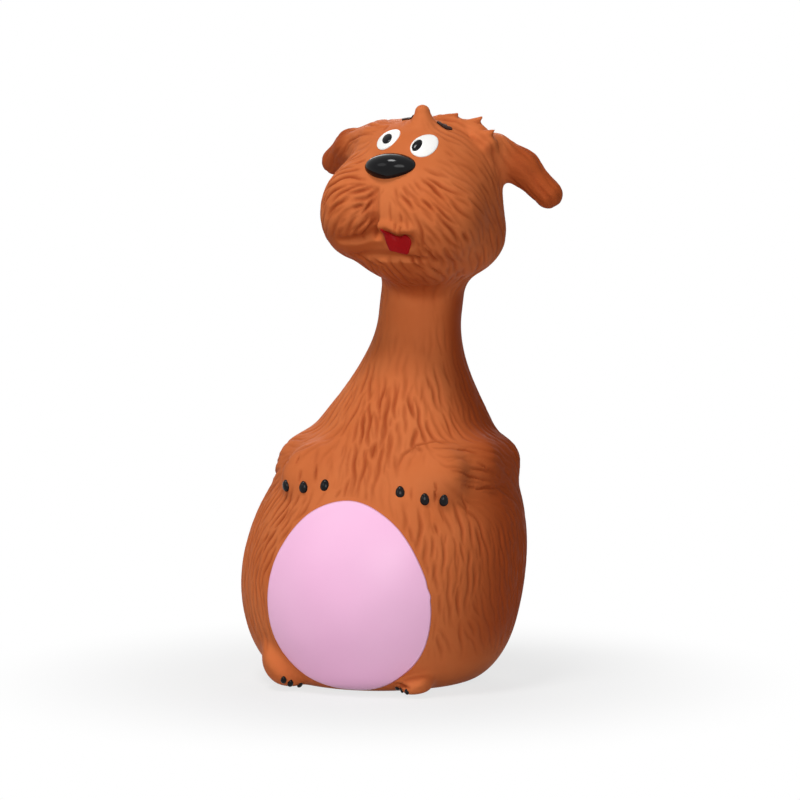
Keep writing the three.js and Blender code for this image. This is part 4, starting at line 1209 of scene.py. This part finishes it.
# nose: a glossy button, fuller below and flatter on top
noseForm = {"at": (-1.2, -22.5, 28.3), "radii": (5.85, 3.8, 3.07), "tilt": 6.0, "sides": 72, "bands": 40,
            "fuller": 0.06, "broader": 0.03, "flatter": 0.04}


def nosePiece(f):
    theta = np.linspace(0, 2 * np.pi, f["sides"], endpoint=False)
    wide, deep, tall = f["radii"]
    rows = []
    for polar in np.linspace(0, np.pi, f["bands"] + 1)[1:-1]:
        x, z = np.sin(polar) * np.cos(theta), np.sin(polar) * np.sin(theta)
        y = -np.cos(polar) * np.ones_like(theta)
        fuller = 1 + f["fuller"] * z * y + f["broader"] * np.cos(2 * theta) * np.sin(polar)
        rows.append(np.stack([x * wide * fuller, y * deep, z * tall * (1 - f["flatter"] * z)], 1))
    points = np.concatenate([[(0, -deep, 0)], *rows, [(0, deep, 0)]])
    turn = np.array(Matrix.Rotation(math.radians(-f["tilt"]), 3, "Y"))
    return ringPiece("nose_button", fromHead(np.array(f["at"]) + points @ turn.T), f["sides"], blackGloss)


nose = nosePiece(noseForm)
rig.slot(nose, "black_coat")
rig.ride(nose, "head")
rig.replaces(nose, "nose")
print("face painted")

# claws: three to a paw, one oval set on points of the paw by Geometry Nodes
clawForm = {"left_front": {"at": ((11.2, 44.8), (16.5, 43.3), (20.3, 43.0)), "size": 1.0},
            "right_front": {"at": ((-6.1, 45.7), (-11.1, 45.1), (-15.7, 45.1)), "size": 1.0},
            "left_hind": {"at": ((9.8, 1.5), (11.3, 1.35), (12.9, 1.3)), "size": 0.52},
            "right_hind": {"at": ((-12.9, 1.0), (-14.3, 1.6), (-15.5, 2.5)), "size": 0.66},
            "radii": (1.0, 0.7, 1.35), "narrow": 0.16, "nod": -0.6, "standOff": 45.0}


def clawTree(finish):
    tree, given, sockets = geometryGroup("setClaws", Claw="Object", Size="Float")
    link = tree.links.new
    claw = addNode(tree, "GeometryNodeObjectInfo", transform_space="ORIGINAL")
    link(given.outputs["Claw"], claw.inputs["Object"])
    aim = addNode(tree, "FunctionNodeEulerToRotation")
    link(namedValue(tree, "turn", "FLOAT_VECTOR"), aim.inputs["Euler"])
    put = addNode(tree, "GeometryNodeInstanceOnPoints")
    link(given.outputs["Geometry"], put.inputs["Points"])
    link(claw.outputs["Geometry"], put.inputs["Instance"])
    link(aim.outputs["Rotation"], put.inputs["Rotation"])
    link(given.outputs["Size"], put.inputs["Scale"])
    endGroup(tree, put.outputs["Instances"], finish)
    return tree, sockets


def oneClaw(f):
    bm = bmesh.new()
    bmesh.ops.create_icosphere(bm, subdivisions=4, radius=1)
    for v in bm.verts:
        x, y, z = (c * r for c, r in zip(v.co, f["radii"]))
        v.co = Vector((x * (1 - f["narrow"] * v.co.z), y, z)) * mm
    mesh = bpy.data.meshes.new("claw")
    bm.to_mesh(mesh)
    bm.free()
    mesh.shade_smooth()
    return addObject("claw", mesh)


tree, sockets = clawTree(blackGloss)
claw = oneClaw(clawForm)
for paw in ("left_front", "right_front", "left_hind", "right_hind"):
    start = np.array([(x, -clawForm["standOff"], z) for x, z in clawForm[paw]["at"]])
    spots = march(bodyField, start, np.array([0, 1.0, 0]))
    outs = facing(bodyField, spots)
    lean, facingTo = clawForm["nod"] * np.arcsin(outs[:, 2]), np.arctan2(outs[:, 0], -outs[:, 1])
    turns = np.stack([lean, 0 * lean, facingTo], 1).astype(np.float32)
    mesh = bpy.data.meshes.new(paw + "_claw_set")
    mesh.from_pydata((spots * mm).tolist(), [], [])
    mesh.attributes.new("turn", "FLOAT_VECTOR", "POINT").data.foreach_set("vector", turns.ravel())
    piece = addObject(paw + "_claw_set", mesh)
    setter = piece.modifiers.new("setClaws", "NODES")
    setter.node_group = tree
    setter[sockets["Claw"]] = claw
    setter[sockets["Size"]] = clawForm[paw]["size"]
    settle(piece)
    piece.data.shade_smooth()
    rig.slot(piece, "black_coat")
    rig.blend(piece, "body", "belly", **bellyEnds)
    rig.replaces(piece, *[paw + "_claw_" + n for n in ("inner", "middle", "outer")])
bpy.data.objects.remove(claw)
print("claws set")

# wadding inside: lumpy, soft, following the skins round it
waddingForm = {"clear": 2.9, "voxel": 1.5, "margin": 1.6, "floor": 2, "gap": 1.5, "neckFoot": 2,
               "lump": 0.5, "neckLump": 0.4, "waves": (1.9, 2.2, 2.0), "shifts": (0, 1, 2),
               "squeaker": (11.8, 17.6)}


def waddingLumps(p):
    return waddingForm["lump"] * swell(p, waddingForm)


def bodyWadding(p):
    w = waddingForm
    hole = np.maximum(np.hypot(p[:, 0], p[:, 1]) - w["squeaker"][0], p[:, 2] - w["squeaker"][1])
    ends = np.maximum(w["floor"] - p[:, 2], p[:, 2] - partForm["throat"] + w["gap"] - w["clear"])
    d = np.maximum(pearField(p), ends) + w["clear"] + waddingLumps(p)
    return np.maximum(d, -hole)


def neckWadding(p):
    w = waddingForm
    ends = np.maximum(partForm["throat"] + w["neckFoot"] - p[:, 2], p[:, 2] - partForm["nape"] + w["gap"])
    return np.maximum(pearField(p) + w["clear"] + w["neckLump"] * waddingLumps(p), ends)


def headWadding(p):
    w = waddingForm
    neck = np.maximum(pearField(p), partForm["nape"] + w["gap"] - p[:, 2])
    return np.minimum(skullField(toHead(p)), neck) + w["clear"] + waddingLumps(p)


waddings = {"body_wadding": (bodyWadding, "body_stuffing", ("body", "belly"), bellyEnds),
            "neck_wadding": (neckWadding, "neck_stuffing", ("body", "neck"), neckEnds),
            "head_wadding": (headWadding, "head_stuffing", ("neck", "head"), napeEnds)}
for name, (field, node, bodies, ends) in waddings.items():
    points, quads = surfaceMesh(field, skinForm["low"], skinForm["high"], waddingForm["voxel"],
                                margin=waddingForm["margin"])
    piece = addObject(name, meshFrom(name, points, quads))
    piece.data.materials.append(waddingWhite)
    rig.slot(piece, "wadding")
    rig.padded(piece, fill=0.7)
    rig.blend(piece, *bodies, **ends)
    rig.replaces(piece, node)
print("wadding in")

# squeaker: the CAD shapes are right, so they only get their finish
squeakerFinish = {"squeaker_plug": plugPlastic, "reed_plate": plugPlastic,
                  "reed_clamp": plugPlastic, "squeaker_reed": reedBrass}
for node, finish in squeakerFinish.items():
    for slot in frame["nodes"][node].material_slots:
        slot.material = finish

# floor and light
studio = {"floor": 0.55, "roughness": 0.9, "radius": 6, "sides": 96, "below": 0.0002,
          "clear": (0.03, 0.10), "white": (0.75, 1.0), "fill": 0.04, "aim": (0.003, 0, 0.065),
          "lamps": {"topBox": ((-0.108, -0.298, 0.745), 0.22, 3.3),
                    "keyBox": ((-0.428, -0.548, 0.346), 0.35, 0.6),
                    "frontBox": ((0.39, -1.22, 0.27), 0.8, 8.4),
                    "backBox": ((-0.2, 0.75, 0.5), 0.6, 3.0)}}


# a matt floor that the camera sees mostly white, so that the toy's shadow stays faint
def makeFloor(s):
    bm = bmesh.new()
    bmesh.ops.create_circle(bm, cap_ends=True, radius=s["radius"], segments=s["sides"])
    mesh = bpy.data.meshes.new("floor")
    bm.to_mesh(mesh)
    bm.free()
    mesh.transform(Matrix.Translation((0, 0, -s["below"])))
    floor = addObject("floor", mesh)
    finish, tree, shader = newFinish("paleFloor")
    shader.inputs["Base Color"].default_value = (s["floor"], s["floor"], s["floor"], 1)
    shader.inputs["Roughness"].default_value = s["roughness"]
    shader.inputs["Specular IOR Level"].default_value = 0.0
    where = addNode(tree, "ShaderNodeTexCoord")
    far = addNode(tree, "ShaderNodeVectorMath", operation="LENGTH")
    tree.links.new(where.outputs["Object"], far.inputs[0])
    share = addNode(tree, "ShaderNodeMapRange", interpolation_type="SMOOTHSTEP")
    share.inputs["From Min"].default_value, share.inputs["From Max"].default_value = s["clear"]
    share.inputs["To Min"].default_value, share.inputs["To Max"].default_value = s["white"]
    tree.links.new(far.outputs["Value"], share.inputs["Value"])
    white = addNode(tree, "ShaderNodeEmission")
    mix = addNode(tree, "ShaderNodeMixShader")
    tree.links.new(mathNode(tree, "MULTIPLY", share.outputs["Result"], seenRays(tree)), mix.inputs[0])
    tree.links.new(shader.outputs[0], mix.inputs[1])
    tree.links.new(white.outputs[0], mix.inputs[2])
    tree.links.new(mix.outputs[0], tree.nodes["Material Output"].inputs["Surface"])
    mesh.materials.append(finish)
    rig.stage(floor)


def makeWorld(s):
    world = bpy.data.worlds.new("studio")
    scene.world = world
    world.use_nodes = True
    tree = world.node_tree
    fill, white = tree.nodes["Background"], addNode(tree, "ShaderNodeBackground")
    for light, strength in ((fill, s["fill"]), (white, 1.0)):
        light.inputs["Color"].default_value = (1, 1, 1, 1)
        light.inputs["Strength"].default_value = strength
    mix = addNode(tree, "ShaderNodeMixShader")
    tree.links.new(seenRays(tree), mix.inputs[0])
    tree.links.new(fill.outputs[0], mix.inputs[1])
    tree.links.new(white.outputs[0], mix.inputs[2])
    tree.links.new(mix.outputs[0], tree.nodes["World Output"].inputs["Surface"])


def softbox(name, at, size, power):
    lamp = bpy.data.lights.new(name, "AREA")
    lamp.shape, lamp.size, lamp.energy = "DISK", size, power
    stand = bpy.data.objects.new(name, lamp)
    stand.location = at
    stand.rotation_euler = (Vector(studio["aim"]) - Vector(at)).to_track_quat("-Z", "Y").to_euler()
    scene.collection.objects.link(stand)


makeFloor(studio)
makeWorld(studio)
for name, (at, size, power) in studio["lamps"].items():
    softbox(name, at, size, power)
print("studio lit")

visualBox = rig.bounds()
with open("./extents.json", "w") as out:
    json.dump({"cad": [list(c) for c in cadBox], "visual": [list(c) for c in visualBox]}, out)
